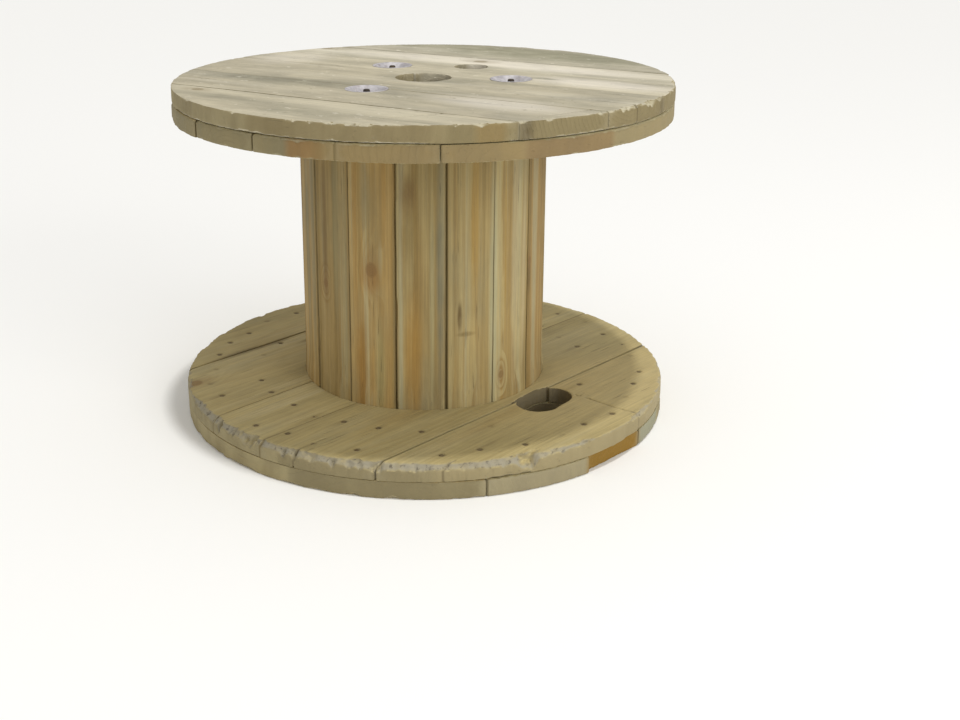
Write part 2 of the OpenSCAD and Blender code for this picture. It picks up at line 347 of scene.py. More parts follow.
class Wood(Graph):
    """Sawn pine. grain is the boards' direction in the drum's frame; look holds its colours."""

    def __init__(self, name, grain, look):
        super().__init__(name)
        self.look = look
        self.plan = self.stored("plan")
        self.place = self.stored("place")
        self.stain, self.dark, self.worn = self.split(self.stored("marks"))
        self.warm, self.light, self.seed = self.split(self.stored("tone"))
        self.shift = self.times(self.seed, BOARD_SHIFT)
        self.flat = self.facing((0, 0, 1))
        self.on_end = self.ramp(self.facing(tuple(grain)), 0.45, 0.8)
        self.fibre = self.pattern(FIBRE, 4, 0.65)
        self.hair = self.pattern(HAIR, 2, 0.6)
        self.streak = self.pattern(look["streak_grain"], 3, 0.6)
        self.cloud = self.pattern(CLOUD, 3, 0.6)
        self.blotch = self.pattern(BLOTCH, 4, 0.65)
        self.pit_grime_and_hole_shade = self.pattern(GRIME, 2, 0.6)
        self.end_streak = self.pattern(END_STREAK, 3, 0.6)
        self.lay_knots()
        self.lay_rings()
        self.paint_face()
        self.paint_fibres()
        self.paint_knots()
        self.paint_ends()
        if not look["standing"]:
            self.paint_rim()
        self.paint_holes()
        self.paint_wear()
        self.hand_over()

    def facing(self, direction):
        """1 where the surface faces along a direction, 0 where it lies along it."""
        normal = self.add("ShaderNodeNewGeometry").outputs["Normal"]
        return self.math("ABSOLUTE", self.vector("DOT_PRODUCT", normal, direction))

    def pattern(self, cells, detail, rough, shift=0.0):
        """Noise drawn out along the grain, different in each board."""
        w = self.math("ADD", self.shift, shift)
        return self.noise(self.vector("MULTIPLY", self.plan, cells), detail, rough, w)

    def tint(self, where, colour, amount=1.0):
        """Paints a colour over what is there. amount is how much it covers at the most."""
        self.colour = self.mix(self.times(where, amount), self.colour, colour)

    def knot_field(self, along, across, radius, strength):
        """How a knot bends the rings round it, where it shows, and how far its middle is."""
        far = self.vector("LENGTH", self.joined(self.times(along, 0.42), across))
        core = self.vector("LENGTH", self.joined(self.times(along, 0.8), across))
        bend = self.ramp(far, self.times(radius, 3.2), 0.0)
        inside = self.ramp(core, self.times(radius, 1.15), self.times(radius, 0.75))
        return self.times(bend, strength), self.times(inside, strength), core

    def lay_knots(self):
        """Knots that the log had, one in a few cells of a drawn-out grid, and the placed ones."""
        corner = self.joined(self.shift, self.shift)
        cells = self.vector("MULTIPLY_ADD", self.plan, KNOT_CELLS, corner)
        voronoi = self.add("ShaderNodeTexVoronoi", voronoi_dimensions="2D")
        self.feed(voronoi.inputs["Vector"], cells)
        self.feed(voronoi.inputs["Scale"], 1.0)
        away = self.vector("SUBTRACT", cells, voronoi.outputs["Position"])
        away = self.vector("MULTIPLY", away, (1 / KNOT_CELLS[0], 1 / KNOT_CELLS[1], 0))
        along, across, _ = self.split(away)
        chance, size, _ = self.split(voronoi.outputs["Color"])
        here = self.ramp(chance, 1 - self.look["knots"], 1 - self.look["knots"] * 0.8)
        radius = self.math("MULTIPLY_ADD", size, 7 * MM, 5 * MM)
        self.bend, self.knot, self.reach = self.knot_field(along, across, radius, here)
        for middle, radius in self.look["placed_knots"]:
            across, along, _ = self.split(self.vector("SUBTRACT", self.place, (*middle, 0)))
            bend, knot, reach = self.knot_field(along, across, radius, 1.0)
            self.bend = self.math("MAXIMUM", self.bend, bend)
            self.knot = self.math("MAXIMUM", self.knot, knot)
            self.reach = self.math("MINIMUM", self.reach, reach)

    def lay_rings(self):
        """Late wood of the growth rings, from the distance to the log's heart."""
        _, log_y, log_z = self.split(self.stored("log"))
        heart = self.vector("LENGTH", self.joined(0.0, log_y, log_z))
        for cells, rough, reach in ((RING_SWAY, 0.5, self.look["sway"]), (RING_WOBBLE, 0.6, 4 * MM)):
            swing = self.math("SUBTRACT", self.pattern(cells, 2, rough), 0.5)
            heart = self.math("MULTIPLY_ADD", swing, reach, heart)
        heart = self.math("MULTIPLY_ADD", self.bend, KNOT_BEND, heart)
        ring = self.look["ring"]
        pitch = self.math("MULTIPLY_ADD", self.seed, ring * 0.9, ring * 0.6)
        phase = self.math("FRACT", self.math("DIVIDE", heart, pitch))
        late = self.times(self.ramp(phase, 0.30, 0.86), self.ramp(phase, 1.0, 0.93))
        uneven = self.pattern(RING_STRENGTH, 1, 0.5)
        self.late = self.times(late, self.ramp(uneven, 0.25, 0.7, 0.35, 1.0))

    def paint_face(self):
        """Early and late wood, warm boards, streaks, and the placed patches."""
        look = self.look
        self.colour = self.mix(self.times(self.late, look["contrast"]), look["early"], look["late"])
        self.tint(self.ramp(self.warm, 0.35, 1.0), look["warm"], 0.55)
        self.tint(self.ramp(self.streak, 0.46, 0.72), *look["streak"])
        self.tint(self.ramp(self.streak, 0.50, 0.28), *look["pale"])
        self.tint(self.ramp(self.cloud, 0.48, 0.78), *look["grey"])
        for centre, size, turn, colour, amount in look["spots"]:
            patch = self.spot(self.place, centre, size, turn)
            patch = self.times(patch, self.ramp(self.streak, 0.25, 0.6, 0.55, 1.0))
            patch = self.times(patch, self.ramp(self.blotch, 0.3, 0.55, 0.6, 1.0))
            self.tint(patch, colour, amount)

    def paint_fibres(self):
        """Fibres, painted light at a stave's foot and painted shade towards its head, mottling, flecks and
        fine checks.
        """
        look = self.look
        shade = self.ramp(self.fibre, 0.25, 0.75, 0.86, 1.1)
        # Painted light brightens a stave's foot and painted shade darkens it towards its head.
        if look["standing"]:
            shade = self.times(shade, self.ramp(self.split(self.place)[1], 0.05, 0.43, *look["painted_shade_foot_to_head"]))
        shade = self.times(shade, self.ramp(self.hair, 0.3, 0.7, 0.95, 1.04))
        shade = self.times(shade, self.math("MULTIPLY_ADD", self.light, 0.22, 0.89))
        shade = self.times(shade, self.ramp(self.blotch, 0.3, 0.75, *look["mottle"]))
        self.colour = self.mix(1.0, self.colour, self.grey(shade), "MULTIPLY")
        for k, (cells, (start, full), colour, amount) in enumerate(look["flecks"]):
            fleck = self.pattern(cells, 3, 0.6, 9.0 + k)
            self.tint(self.ramp(fleck, start, full), colour, amount)
        dash = self.ramp(self.pattern(CHECK, 1, 0.5, 5.0), 0.69, 0.75)
        self.check = self.times(dash, self.ramp(self.cloud, 0.35, 0.6, 0.25, 1.0))
        self.tint(self.check, look["crack"], look["checks"])

    def paint_knots(self):
        """A reddish heart with rings of its own, and a halo where the rings bend."""
        look = self.look
        own_rings = self.math("FRACT", self.math("DIVIDE", self.reach, KNOT_RING))
        heart_wood = self.mix(self.ramp(own_rings, 0.3, 0.9), look["knot"], look["knot_dark"])
        self.tint(self.knot, heart_wood, look["knot_amount"])
        self.tint(self.ramp(self.bend, 0.25, 0.9), look["knot"], 0.3)

    def paint_ends(self):
        """Sawn ends show the rings from the end, with open pores."""
        look = self.look
        pores = self.noise(self.vector("MULTIPLY", self.plan, PORES), 3, 0.7)
        end = self.mix(self.ramp(pores, 0.35, 0.65), look["end"], look["end_dark"])
        end = self.mix(self.times(self.late, 0.35), end, look["end_dark"])
        end = self.mix(self.ramp(self.end_streak, 0.45, 0.7, 0.0, 0.55), end, look["end_grey"])
        self.tint(self.on_end, end, look["end_amount"])

    def paint_rim(self):
        """The rim weathers differently from the faces, and unevenly round the flange; on the lower flange
        some of its bands are painted shade at the front-left and painted light at the right.
        """
        look = self.look
        out = self.vector("LENGTH", self.vector("MULTIPLY", self.plan, (1, 1, 0)))
        near_rim = self.ramp(out, FLANGE_R - 18 * MM, FLANGE_R - 9 * MM)
        rim_side = self.times(self.ramp(self.flat, 0.75, 0.45), near_rim)
        rim_tint = self.mix(self.ramp(self.end_streak, 0.35, 0.65), look["rim"], look["rim_2"])
        self.tint(rim_side, rim_tint, look["rim_amount"])
        x, y, _ = self.split(self.add("ShaderNodeTexCoord").outputs["Object"])
        turn = self.times(self.math("ARCTAN2", y, x), 180 / math.pi)
        # Bands of colour round the rim, some of them painted shade and painted light.
        for start, end, colour, amount in look["rim_spots"]:
            arc = self.times(self.ramp(turn, start - RIM_SOFT, start + RIM_SOFT),
                             self.ramp(turn, end + RIM_SOFT, end - RIM_SOFT))
            arc = self.times(self.times(arc, rim_side), self.ramp(self.end_streak, 0.3, 0.5, 0.92, 1.0))
            self.tint(arc, colour, amount)

    def paint_holes(self):
        """Painted shade darkens the walls of the cable start hole."""
        for centre, radius, colour, amount in self.look["holes"]:
            away = self.vector("SUBTRACT", self.place, (*centre, 0))
            far = self.vector("LENGTH", self.vector("MULTIPLY", away, (1, 1, 0)))
            wall = self.times(self.ramp(far, radius + 4 * MM, radius), self.ramp(self.flat, 0.7, 0.4))
            self.tint(wall, colour, amount)

    def paint_wear(self):
        """Broken fibres on worn arrises, dirt along the seams, nail stains and splits."""
        look = self.look
        self.tint(self.times(self.worn, self.ramp(self.blotch, 0.35, 0.6, 0.4, 1.0)), *look["torn"])
        self.tint(self.times(self.worn, self.ramp(self.pit_grime_and_hole_shade, 0.55, 0.7)), look["pit"], look["pits"])
        low_side, high_side, _ = self.split(self.stored("side"))
        seam = self.ramp(self.math("MINIMUM", low_side, high_side), look["seam_dirt"], 0.0)
        self.tint(seam, look["dirt"], self.ramp(self.cloud, 0.3, 0.65, 0.3, 0.85))
        self.tint(self.stain, look["stain"], 0.85)
        self.tint(self.dark, look["crack"])

    def hand_over(self):
        """Gives the shader its colour, roughness and relief."""
        look = self.look
        self.feed(self.shader.inputs["Base Color"], self.colour)
        rough = self.ramp(self.fibre, 0.3, 0.7, look["rough"] - 0.07, look["rough"] + 0.08)
        self.feed(self.shader.inputs["Roughness"], self.math("MULTIPLY_ADD", self.late, -0.08, rough))
        self.shader.inputs["Specular IOR Level"].default_value = 0.3
        height = 0.0
        for pattern, share in ((self.fibre, 0.5), (self.hair, 0.12), (self.late, look["ridge"]),
                               (self.check, -0.9), (self.blotch, 0.35),
                               (self.times(self.pit_grime_and_hole_shade, self.worn), 0.9)):
            height = self.math("MULTIPLY_ADD", pattern, share, height)
        self.bump(height, look["relief"], 0.8)


# ---------------------------------------------------------------- wood colours

PINE = dict(
    early=rgb(182, 171, 130), late=rgb(154, 134, 88), warm=rgb(176, 152, 102),
    streak=(rgb(148, 134, 92), 0.5), pale=(rgb(192, 182, 146), 0.45),
    grey=(rgb(152, 145, 112), 0.5), streak_grain=(1.6, 22, 22),
    knot=rgb(136, 104, 62), knot_dark=rgb(98, 74, 44), knots=0.09, knot_amount=0.6,
    end=rgb(160, 146, 108), end_dark=rgb(122, 108, 74), end_grey=rgb(150, 144, 122),
    end_amount=0.75, rim=rgb(160, 148, 110), rim_2=rgb(136, 124, 90), rim_amount=0.8,
    torn=(rgb(188, 180, 150), 0.6), pits=0.6, pit=rgb(92, 78, 50), stain=rgb(92, 78, 48),
    crack=rgb(70, 57, 34), checks=0.4, dirt=rgb(120, 106, 70), seam_dirt=1.6 * MM,
    contrast=0.55, ring=8 * MM, sway=34 * MM, rough=0.76, ridge=0.35, relief=0.9 * MM,
    standing=False, mottle=(1.05, 0.92), flecks=[], placed_knots=[], holes=[],
)

WEATHERED = dict(
    PINE,
    early=rgb(197, 190, 168), late=rgb(177, 168, 143), warm=rgb(193, 182, 154),
    streak=(rgb(159, 153, 132), 0.75), pale=(rgb(216, 210, 192), 0.6),
    grey=(rgb(165, 160, 142), 0.7), streak_grain=(1.5, 20, 20),
    knot=rgb(140, 124, 92), knot_dark=rgb(112, 98, 70), knots=0.06,
    torn=(rgb(206, 198, 170), 0.6), stain=rgb(120, 112, 94), contrast=0.45,
    rim=rgb(155, 142, 104), rim_2=rgb(132, 119, 84), rim_amount=0.92,
    checks=0.5, rough=0.8, ridge=0.6, dirt=rgb(146, 136, 108), seam_dirt=1.2 * MM,
    mottle=(1.10, 0.84), flecks=[((70, 150, 150), (0.63, 0.70), rgb(228, 222, 204), 0.7),
                                 ((95, 130, 130), (0.66, 0.72), rgb(132, 122, 98), 0.65)],
)

UNDER_TOP = dict(PINE, rim=rgb(158, 140, 98), rim_2=rgb(136, 124, 92), rim_amount=0.85)

LOWER_TOP = dict(PINE, torn=(rgb(154, 148, 131), 0.85), pits=0.9, pit=rgb(104, 97, 82),
                 rim=rgb(158, 146, 110), early=rgb(184, 168, 119), late=rgb(162, 141, 91),
                 warm=rgb(182, 155, 100), contrast=0.38, ridge=0.2)

STAVES = dict(
    PINE,
    early=rgb(170, 151, 103), late=rgb(142, 112, 58), warm=rgb(168, 132, 72),
    streak=(rgb(132, 110, 62), 0.7), pale=(rgb(176, 168, 132), 0.8),
    grey=(rgb(140, 134, 104), 0.55), streak_grain=(0.7, 84, 84), knots=0.0,
    # The pair of shares at a stave's foot and head is painted light and painted shade.
    contrast=0.7, ring=12 * MM, sway=22 * MM, painted_shade_foot_to_head=(1.12, 0.86), standing=True,
)


# ---------------------------------------------------------------- boards

# SLIVER is what two measures of one place may differ by, TINY keeps a division from failing,
# and NAIL_THICK is more than any nail is.
START_HOLE_R = 30 * MM
TINY = 1e-6
SLIVER = 0.05 * MM
NAIL_THICK = 6 * MM
MOUNTS = {m["name"]: m for m in frame["record"]["mounts"]}
OPENINGS = {o["name"]: o for o in frame["record"]["physics"]["openings"]}


def hole_edges(flange):
    """The round holes of a flange, each as (one end, other end, radius) in plan."""
    found = []
    for kind in ("spindle_hole", "driving_pin_hole"):
        mount = MOUNTS[f"{kind}_{flange}"]
        place = np.array(mount["pos_m"][:2])
        found.append((place, place, mount["dims"]["r_mm"] * MM))
    if flange == "bottom":
        ends = [np.mean(OPENINGS[f"cable_start_hole_{end}_end"]["box_m"], axis=0)[:2]
                for end in ("near", "far")]
        found.append((*ends, START_HOLE_R))
    return found


def nail_places(node):
    """Where the nails of a ring stand, from their points, which are farthest from the winding."""
    points = corners(NODES[node].data)
    far = np.abs(points[:, 2] - WINDING_MIDDLE)
    groups = []
    for tip in points[far > far.max() - SLIVER][:, :2]:
        for group in groups:
            if math.dist(group[0], tip) < NAIL_THICK:
                group.append(tip)
                break
        else:
            groups.append([tip])
    return np.array([(np.min(group, axis=0) + np.max(group, axis=0)) / 2 for group in groups])


def seam_turn(node):
    """Direction of a ply's boards in radians, from the flat walls of a board's seams."""
    bins = 720
    areas = np.zeros(bins)
    angles = []
    for polygon in node.data.polygons:
        if abs(polygon.normal.z) < 0.01:
            angle = math.atan2(polygon.normal.y, polygon.normal.x) % math.pi
            angles.append((angle, polygon.area))
            areas[int(angle / math.pi * bins) % bins] += polygon.area
    peak = (int(areas.argmax()) + 0.5) / bins * math.pi
    near = [(a, s) for a, s in angles if abs(a - peak) < math.radians(0.5)]
    return sum(a * s for a, s in near) / sum(s for _, s in near) - math.pi / 2


# How each ply has worn, in millimetres. upper and lower are the steady wear and the deepest
# chips of the rim's arris there; retreat is how far a board has shrunk back from the rim;
# whole is how much of an arris has no chips.
PLIES = {
    "top_outer": dict(look=WEATHERED, slot="weathered_face_boards", upper=(1.4, 5.0),
                      lower=(1.9, 1.2), retreat=0.4, seam_wear=0.3, splits=0.3, whole=0.25),
    "top_inner": dict(look=UNDER_TOP, slot="flange_boards", upper=(2.2, 1.2),
                      lower=(0.9, 2.6), retreat=1.6, seam_wear=0.4, splits=0.0, whole=0.35),
    "bottom_inner": dict(look=LOWER_TOP, slot="flange_boards", upper=(2.2, 5.0),
                         lower=(0.2, 0.5), retreat=0.4, seam_wear=0.2, splits=0.4, whole=0.2),
    "bottom_outer": dict(look=PINE, slot="flange_boards", upper=(0.2, 0.5),
                         lower=(1.2, 3.5), retreat=0.4, seam_wear=0.4, splits=0.0, whole=0.35),
}

# Most seams have closed up by this much on each side.
CLOSED_UP = 0.54

# Seams that stand open, by their offset: how far each side has drawn back, all in millimetres.
OPEN_SEAMS = {
    "top_outer": {-225: -0.25, 205: 0.1},
    "top_inner": {-204: 0.3, 28: 0.5, 145: 0.0},
    "bottom_inner": {-197: 1.15, 236: 0.7},
    "bottom_outer": {-43: 0.9, -188: 0.4},
}

# Splits that show in the faces, in millimetres of plan: from, to, width, depth.
SPLITS = {
    "bottom_inner": [((215, -125), (305, -205), 1.8, 2.0)],
    "top_outer": [((150, -300), (205, -262), 2.2, 2.5), ((-60, -318), (20, -282), 2.0, 2.2)],
}

# Directions in degrees between which the lower flange's upper arris is worn hardest, the upper
# flange's is frayed or spared, the upper plies lie tight, and the lower plies gape.
HARD_WORN = (-158, -62)
FRAYED = (-118, -10)
SPARED = (-178, -125)
TIGHT_PLIES = (-89, -74)
GAPING_PLIES = (-88, 10)

# How near a seam's offset above has to be, and how near a face a point counts as on it.
SEAM_MATCH = 5 * MM
FACE_REACH = 0.4 * MM

# The bowl that the hammer left round a nail, from its flat floor to its rim, and the share of
# nails that fibres have closed over.
BOWL = (2.8 * MM, 5.6 * MM)
COVERED_SHARE = 0.35

# Plugs that fill the CAD's nail holes before a board is rebuilt.
HEAD_PLUG_R = 4.6 * MM
SHANK_PLUG_R = 2.6 * MM
NAIL_DEPTH = 15 * MM

# How far in from an arris the torn wood fades out, and how strongly each kind of arris shows it.
WORN_REACH = (13 * MM, 19 * MM)
WORN_SHARE = {"rim": 1.0, "seam": 0.15, "hole": 0.0}

# The barrel's radius, and its clearance in the ring groove that it stands in.
BARREL_R = max(np.hypot(*corners(NODES["stave_01"].data)[:, :2].T))
SEAT_GAP = 0.3 * MM


class Board:
    """One board of a ply, in coordinates with X along the grain and the drum's axis at the origin."""

    def __init__(self, name, ply_name, turn, seed):
        self.name = name
        self.ply_name = ply_name
        self.ply = PLIES[ply_name]
        self.turn = turn
        self.seed = seed
        self.random = np.random.default_rng(seed)
        plan = turned(corners(NODES[name].data), -turn)
        self.low, self.high = plan[:, 1].min(), plan[:, 1].max()
        self.floor, self.roof = plan[:, 2].min(), plan[:, 2].max()
        self.faces = ((self.roof, -1), (self.floor, 1))
        edge = FLANGE_R - 2 * MM
        self.low_seam, self.high_seam = self.low > -edge, self.high < edge
        nearest = 0 if self.low < 0 < self.high else min(abs(self.low), abs(self.high))
        whole = math.sqrt(FLANGE_R ** 2 - nearest ** 2)
        lengths = {end: (plan[:, 0] * end).max() for end in (-1, 1)}
        self.short_ends = {end: far for end, far in lengths.items() if far < whole - 3 * MM}
        flange = ply_name.split("_")[0]
        self.outside = self.roof if flange == "top" else self.floor
        self.winding_side = self.floor if flange == "top" else self.roof
        self.inner = ply_name.endswith("inner")
        self.holes = [(turned_place(a, -turn), turned_place(b, -turn), r) for a, b, r in hole_edges(flange)]
        nails = np.vstack([nail_places(f"{flange}_{ring}_nails") for ring in ("rim", "barrel")])
        nails = turned(np.column_stack([nails, np.zeros(len(nails))]), -turn)[:, :2]
        self.nails = nails[(nails[:, 1] > self.low) & (nails[:, 1] < self.high)]
        self.tails = self.random.uniform(0, 1, (len(self.nails), 3))
        self.covered = self.random.uniform(0, 1, len(self.nails)) < COVERED_SHARE
        self.retreat = self.random.uniform(0.1, 1) * self.ply["retreat"] * MM
        self.level = self.random.uniform(0, 0.35) * MM
        self.splits = self.make_splits()

    def opened(self, offset):
        """How far the board has drawn back from a seam; below 0 where the seam has closed up."""
        for seam, amount in OPEN_SEAMS.get(self.ply_name, {}).items():
            if abs(seam * MM - offset) < SEAM_MATCH:
                return amount * MM
        return -CLOSED_UP * MM

    def make_splits(self):
        """Splits as (start, end, width, depth): the placed ones, and some that run in from the ends."""
        found = []
        for start, end, width, depth in SPLITS.get(self.ply_name, []):
            ends = turned(np.array([[*start, 0], [*end, 0]]) * MM, -self.turn)[:, :2]
            if self.low < ends[:, 1].mean() < self.high:
                found.append((ends[0], ends[1], width * MM, depth * MM))
        if self.random.uniform() < self.ply["splits"]:
            side = self.random.choice([-1, 1])
            across = self.random.uniform(self.low + 12 * MM, self.high - 12 * MM)
            length = self.random.uniform(28, 105) * MM
            width = self.random.uniform(1.4, 2.4) * MM
            slant = self.random.uniform(-0.04, 0.04)
            if abs(across) < FLANGE_R - 40 * MM:
                end = math.sqrt(FLANGE_R ** 2 - across ** 2) * side
                found.append((np.array([end - side * length, across + slant * length]),
                              np.array([end, across]), width, 3.5 * MM))
        return found

    def rim(self, points):
        """Depth in from the rim. A short board stops before the flange's edge at one end."""
        depth = FLANGE_R - np.hypot(points[:, 0], points[:, 1])
        for end, far in self.short_ends.items():
            depth = np.minimum(depth, far - points[:, 0] * end)
        return depth

    def direction(self, points):
        """Direction of points in the drum's frame, from -180 to 180 degrees."""
        angle = np.degrees(np.arctan2(points[:, 1], points[:, 0]) + self.turn)
        return (angle + 180) % 360 - 180

    def walls(self, points):
        """Each wall whose arrises wear: (depth in from it, way into the wood, kind)."""
        found = [(self.rim(points), -outward(points), "rim")]
        across = np.tile([0.0, 1.0], (len(points), 1))
        if self.low_seam:
            found.append((points[:, 1] - self.low, across, "seam"))
        if self.high_seam:
            found.append((self.high - points[:, 1], -across, "seam"))
        for start, end, radius in self.holes:
            run = end - start
            length = max(float(run @ run), TINY ** 2)
            share = np.clip((points[:, :2] - start) @ run / length, 0, 1)
            away = points[:, :2] - (start + share[:, None] * run)
            far = np.maximum(np.hypot(away[:, 0], away[:, 1]), TINY)
            found.append((far - radius, away / far[:, None], "hole"))
        return found

    def sharpened(self, points):
        """The points with the arrises that the voxels rounded off drawn out again."""
        points = points.copy()
        reach = ROUNDED_OFF
        for seam, exists in ((self.low, self.low_seam), (self.high, self.high_seam)):
            edge = exists & (np.abs(points[:, 1] - seam) < reach) & (np.abs(self.rim(points)) < reach)
            out = np.sign(points[:, 0]) * np.abs(self.rim(points))
            points[edge, 0] += out[edge]
            points[edge, 1] = seam
        for face in (self.roof, self.floor):
            walls = self.walls(points)
            if self.inner and face == self.winding_side:
                far = np.maximum(np.hypot(points[:, 0], points[:, 1]), MM)
                walls.append((far - BARREL_R - SEAT_GAP, points[:, :2] / far[:, None], "seat"))
            near = np.abs(points[:, 2] - face) < reach
            for side, toward, _ in walls:
                edge = near & (np.abs(side) < reach)
                points[edge, :2] -= (toward * side[:, None])[edge]
                points[edge, 2] = face
        return points

    def arris_size(self, points, kind, roof):
        """How far the wear reaches from an arris, which varies along it."""
        seed = self.seed + (500 if roof else 0)
        flat = points * (1, 1, 0)
        steady = 1 + 0.5 * noise(flat, (30, 30, 1), seed) + 0.3 * noise(flat, (110, 110, 1), seed + 1)
        bites = noise(flat, (34, 75, 1), seed + 2) + 0.6 * noise(flat, (95, 170, 1), seed + 3)
        bites = np.clip(bites + 0.7 * noise(flat, (7, 7, 1), seed + 4) - self.ply["whole"], 0, 1.2)
        if kind == "seam":
            return self.ply["seam_wear"] * (steady + 2.2 * bites) * MM
        if kind == "hole":
            seen = self.winding_side if self.inner else self.outside
            hidden = roof != (seen == self.roof)
            return (0.0 if hidden else 1.0) * (0.9 * steady + 0.8 * bites) * MM
        base, chip = self.ply["upper" if roof else "lower"]
        torn = np.clip(noise(flat, (150, 150, 1), seed + 5) + 0.25, 0, 1)
        size = base * steady * (0.75 + 0.6 * torn) + chip * bites
        angle = self.direction(points)
        if self.ply_name == "top_outer" and roof:
            frayed = np.clip(noise(flat, (85, 85, 1), seed + 6) + 0.1, 0, 1)
            size = size * (1 - 0.5 * window(angle, *SPARED)) + 3.5 * frayed * window(angle, *FRAYED)
        if self.ply_name == "bottom_inner" and roof:
            hard = window(angle, *HARD_WORN)
            size = size * (1 + 0.9 * hard) + 5.0 * hard
        if self.ply_name in ("top_outer", "top_inner") and roof == self.inner:
            size = size * (1 - 0.85 * window(angle, *TIGHT_PLIES, 2))
        if self.ply_name in ("bottom_outer", "bottom_inner") and roof != self.inner:
            size = size * (1 + 3.5 * window(angle, *GAPING_PLIES, 2))
        return size * MM

    def split_depth(self, points):
        """1 along the middle of a split and 0 beside it, and the split's depth."""
        found = np.zeros(len(points))
        deep = np.zeros(len(points))
        for k, (start, end, width, depth) in enumerate(self.splits):
            run = end - start
            length = float(np.hypot(*run))
            share = ((points[:, :2] - start) @ run) / length ** 2
            side = (points[:, :2] - start) @ np.array([-run[1], run[0]]) / length
            side = side + 1.2 * MM * noise(points * (1, 1, 0), (45, 45, 1), self.seed + 40 + k)
            half = width / 2 * step(share, -0.02, 0.5) + 0.5 * MM
            inside = (1 - np.clip(np.abs(side) / half, 0, 1)) * ((share > 0) & (share < 1.05))
            deep = np.where(inside > found, depth, deep)
            found = np.maximum(found, inside)
        return found, deep

    def move_faces(self, points, move):
        """Cupped, wavy and rough faces with their splits. The drum stands on the face at z = 0."""
        width = self.high - self.low
        middle = (self.high + self.low) / 2
        thickness = self.roof - self.floor
        split, deep = self.split_depth(points)
        for face, into in self.faces:
            if face == 0:
                continue
            near = 1 - step(np.abs(points[:, 2] - face), 0, thickness * 0.6)
            cup = ((points[:, 1] - middle) / width * 2) ** 2 * 0.25 * MM
            wave = 0.22 * MM * (1 + noise(points, (9, 22, 1), self.seed + 7))
            rough = 0.10 * MM * (1 + noise(points, (60, 240, 1), self.seed + 8))
            move[:, 2] += into * near * (self.level + cup + wave + rough)
            on_face = np.abs(points[:, 2] - face) < FACE_REACH
            move[:, 2] += into * split * deep * on_face

    def sink_nails(self, points, move):
        """The bowls round the nail heads. A covered nail's bowl is shallow."""
        at_face = np.abs(points[:, 2] - self.winding_side) < FACE_REACH
        into = 1 if self.winding_side == self.floor else -1
        for (x, y), covered in zip(self.nails, self.covered):
            far = np.hypot(points[:, 0] - x, points[:, 1] - y)
            bowl = 1 - step(far, *BOWL)
            move[:, 2] += into * (0.4 if covered else 1.35) * MM * bowl * at_face

    def draw_back(self, points, move):
        """The sawn rim, and the seams that have opened or closed."""
        sawn = 0.5 * (1 + noise(points, (130, 130, 45), self.seed + 9))
        sawn = sawn + 0.4 * (1 + noise(points, (420, 420, 30), self.seed + 10))
        shrink = self.retreat + 0.45 * MM * sawn
        near_rim = 1 - step(self.rim(points), 0, 7 * MM)
        move[:, :2] -= outward(points) * (shrink * near_rim)[:, None]
        for exists, side, into, drawn in (
                (self.low_seam, points[:, 1] - self.low, 1, self.opened(self.low)),
                (self.high_seam, self.high - points[:, 1], -1, self.opened(self.high))):
            if exists:
                sway = noise(points * (1, 0, 0), (4, 1, 1), self.seed + 11 + into)
                rough = noise(points, (50, 1, 90), self.seed + 11 + into)
                inward = drawn * (1 + 0.5 * sway) + 0.08 * MM * (1 + rough)
                move[:, 1] += into * inward * (1 - step(side, 0, 6 * MM))

    def wear_arrises(self, points, move):
        """Cuts every arris back at a slant."""
        for side, toward, kind in self.walls(points):
            for face, into in self.faces:
                size = self.arris_size(points, kind, face == self.roof)
                from_face = np.abs(points[:, 2] - face)
                cut = np.where(side > -MM, np.clip(size - side - from_face, 0, None), 0)
                move[:, :2] += toward * (cut / 2)[:, None]
                move[:, 2] += into * cut / 2

    def aged(self, points):
        """The points after years of use."""
        points = self.sharpened(points)
        move = np.zeros_like(points)
        self.move_faces(points, move)
        if self.inner:
            self.sink_nails(points, move)
        self.draw_back(points, move)
        self.wear_arrises(points, move)
        return points + move

    def nail_marks(self, points):
        """Iron stains that trail along the grain from the nails, and the dark rings round them."""
        stain = np.zeros(len(points))
        dark = np.zeros(len(points))
        on_face = np.abs(points[:, 2] - self.winding_side) < 2 * MM
        for (x, y), (strength, tail, side), covered in zip(self.nails, self.tails, self.covered):
            dx, dy = points[:, 0] - x, points[:, 1] - y
            far = np.hypot(dx, dy)
            ring = 1 - step(far, 3.0 * MM, 6.5 * MM)
            reach = (7 + 24 * tail * tail) * MM
            lean = dx * (1 if side > 0.5 else -1)
            trail = np.exp(-((lean - reach * 0.5) / reach) ** 2 - (dy / (3.6 * MM)) ** 2)
            shown = (0.18 if covered else 0.5) + 0.3 * strength
            stain = np.maximum(stain, np.maximum(shown * ring, 0.4 * strength * trail) * on_face)
            if not covered:
                dark = np.maximum(dark, 0.2 * (1 - step(far, 2.8 * MM, 4.8 * MM)) * on_face)
        return stain, dark

    def marks(self, points):
        """Nail stains, splits and torn arrises, each from 0 to 1."""
        stain = np.zeros(len(points))
        dark = 0.6 * self.split_depth(points)[0]
        if self.inner:
            stain, ringed = self.nail_marks(points)
            dark = np.maximum(dark, ringed)
        worn = np.zeros(len(points))
        for side, _, kind in self.walls(points):
            if kind == "rim":
                side = side - self.retreat - 0.6 * MM
            for face in (self.roof, self.floor):
                inset = np.minimum(side, np.abs(points[:, 2] - face) - self.level - 0.35 * MM)
                reach = 1 - step(side + np.abs(points[:, 2] - face), *WORN_REACH)
                shown = WORN_SHARE[kind] * step(inset, 0.3 * MM, 1.8 * MM)
                worn = np.maximum(worn, shown * reach)
        return np.column_stack([stain, dark, worn])

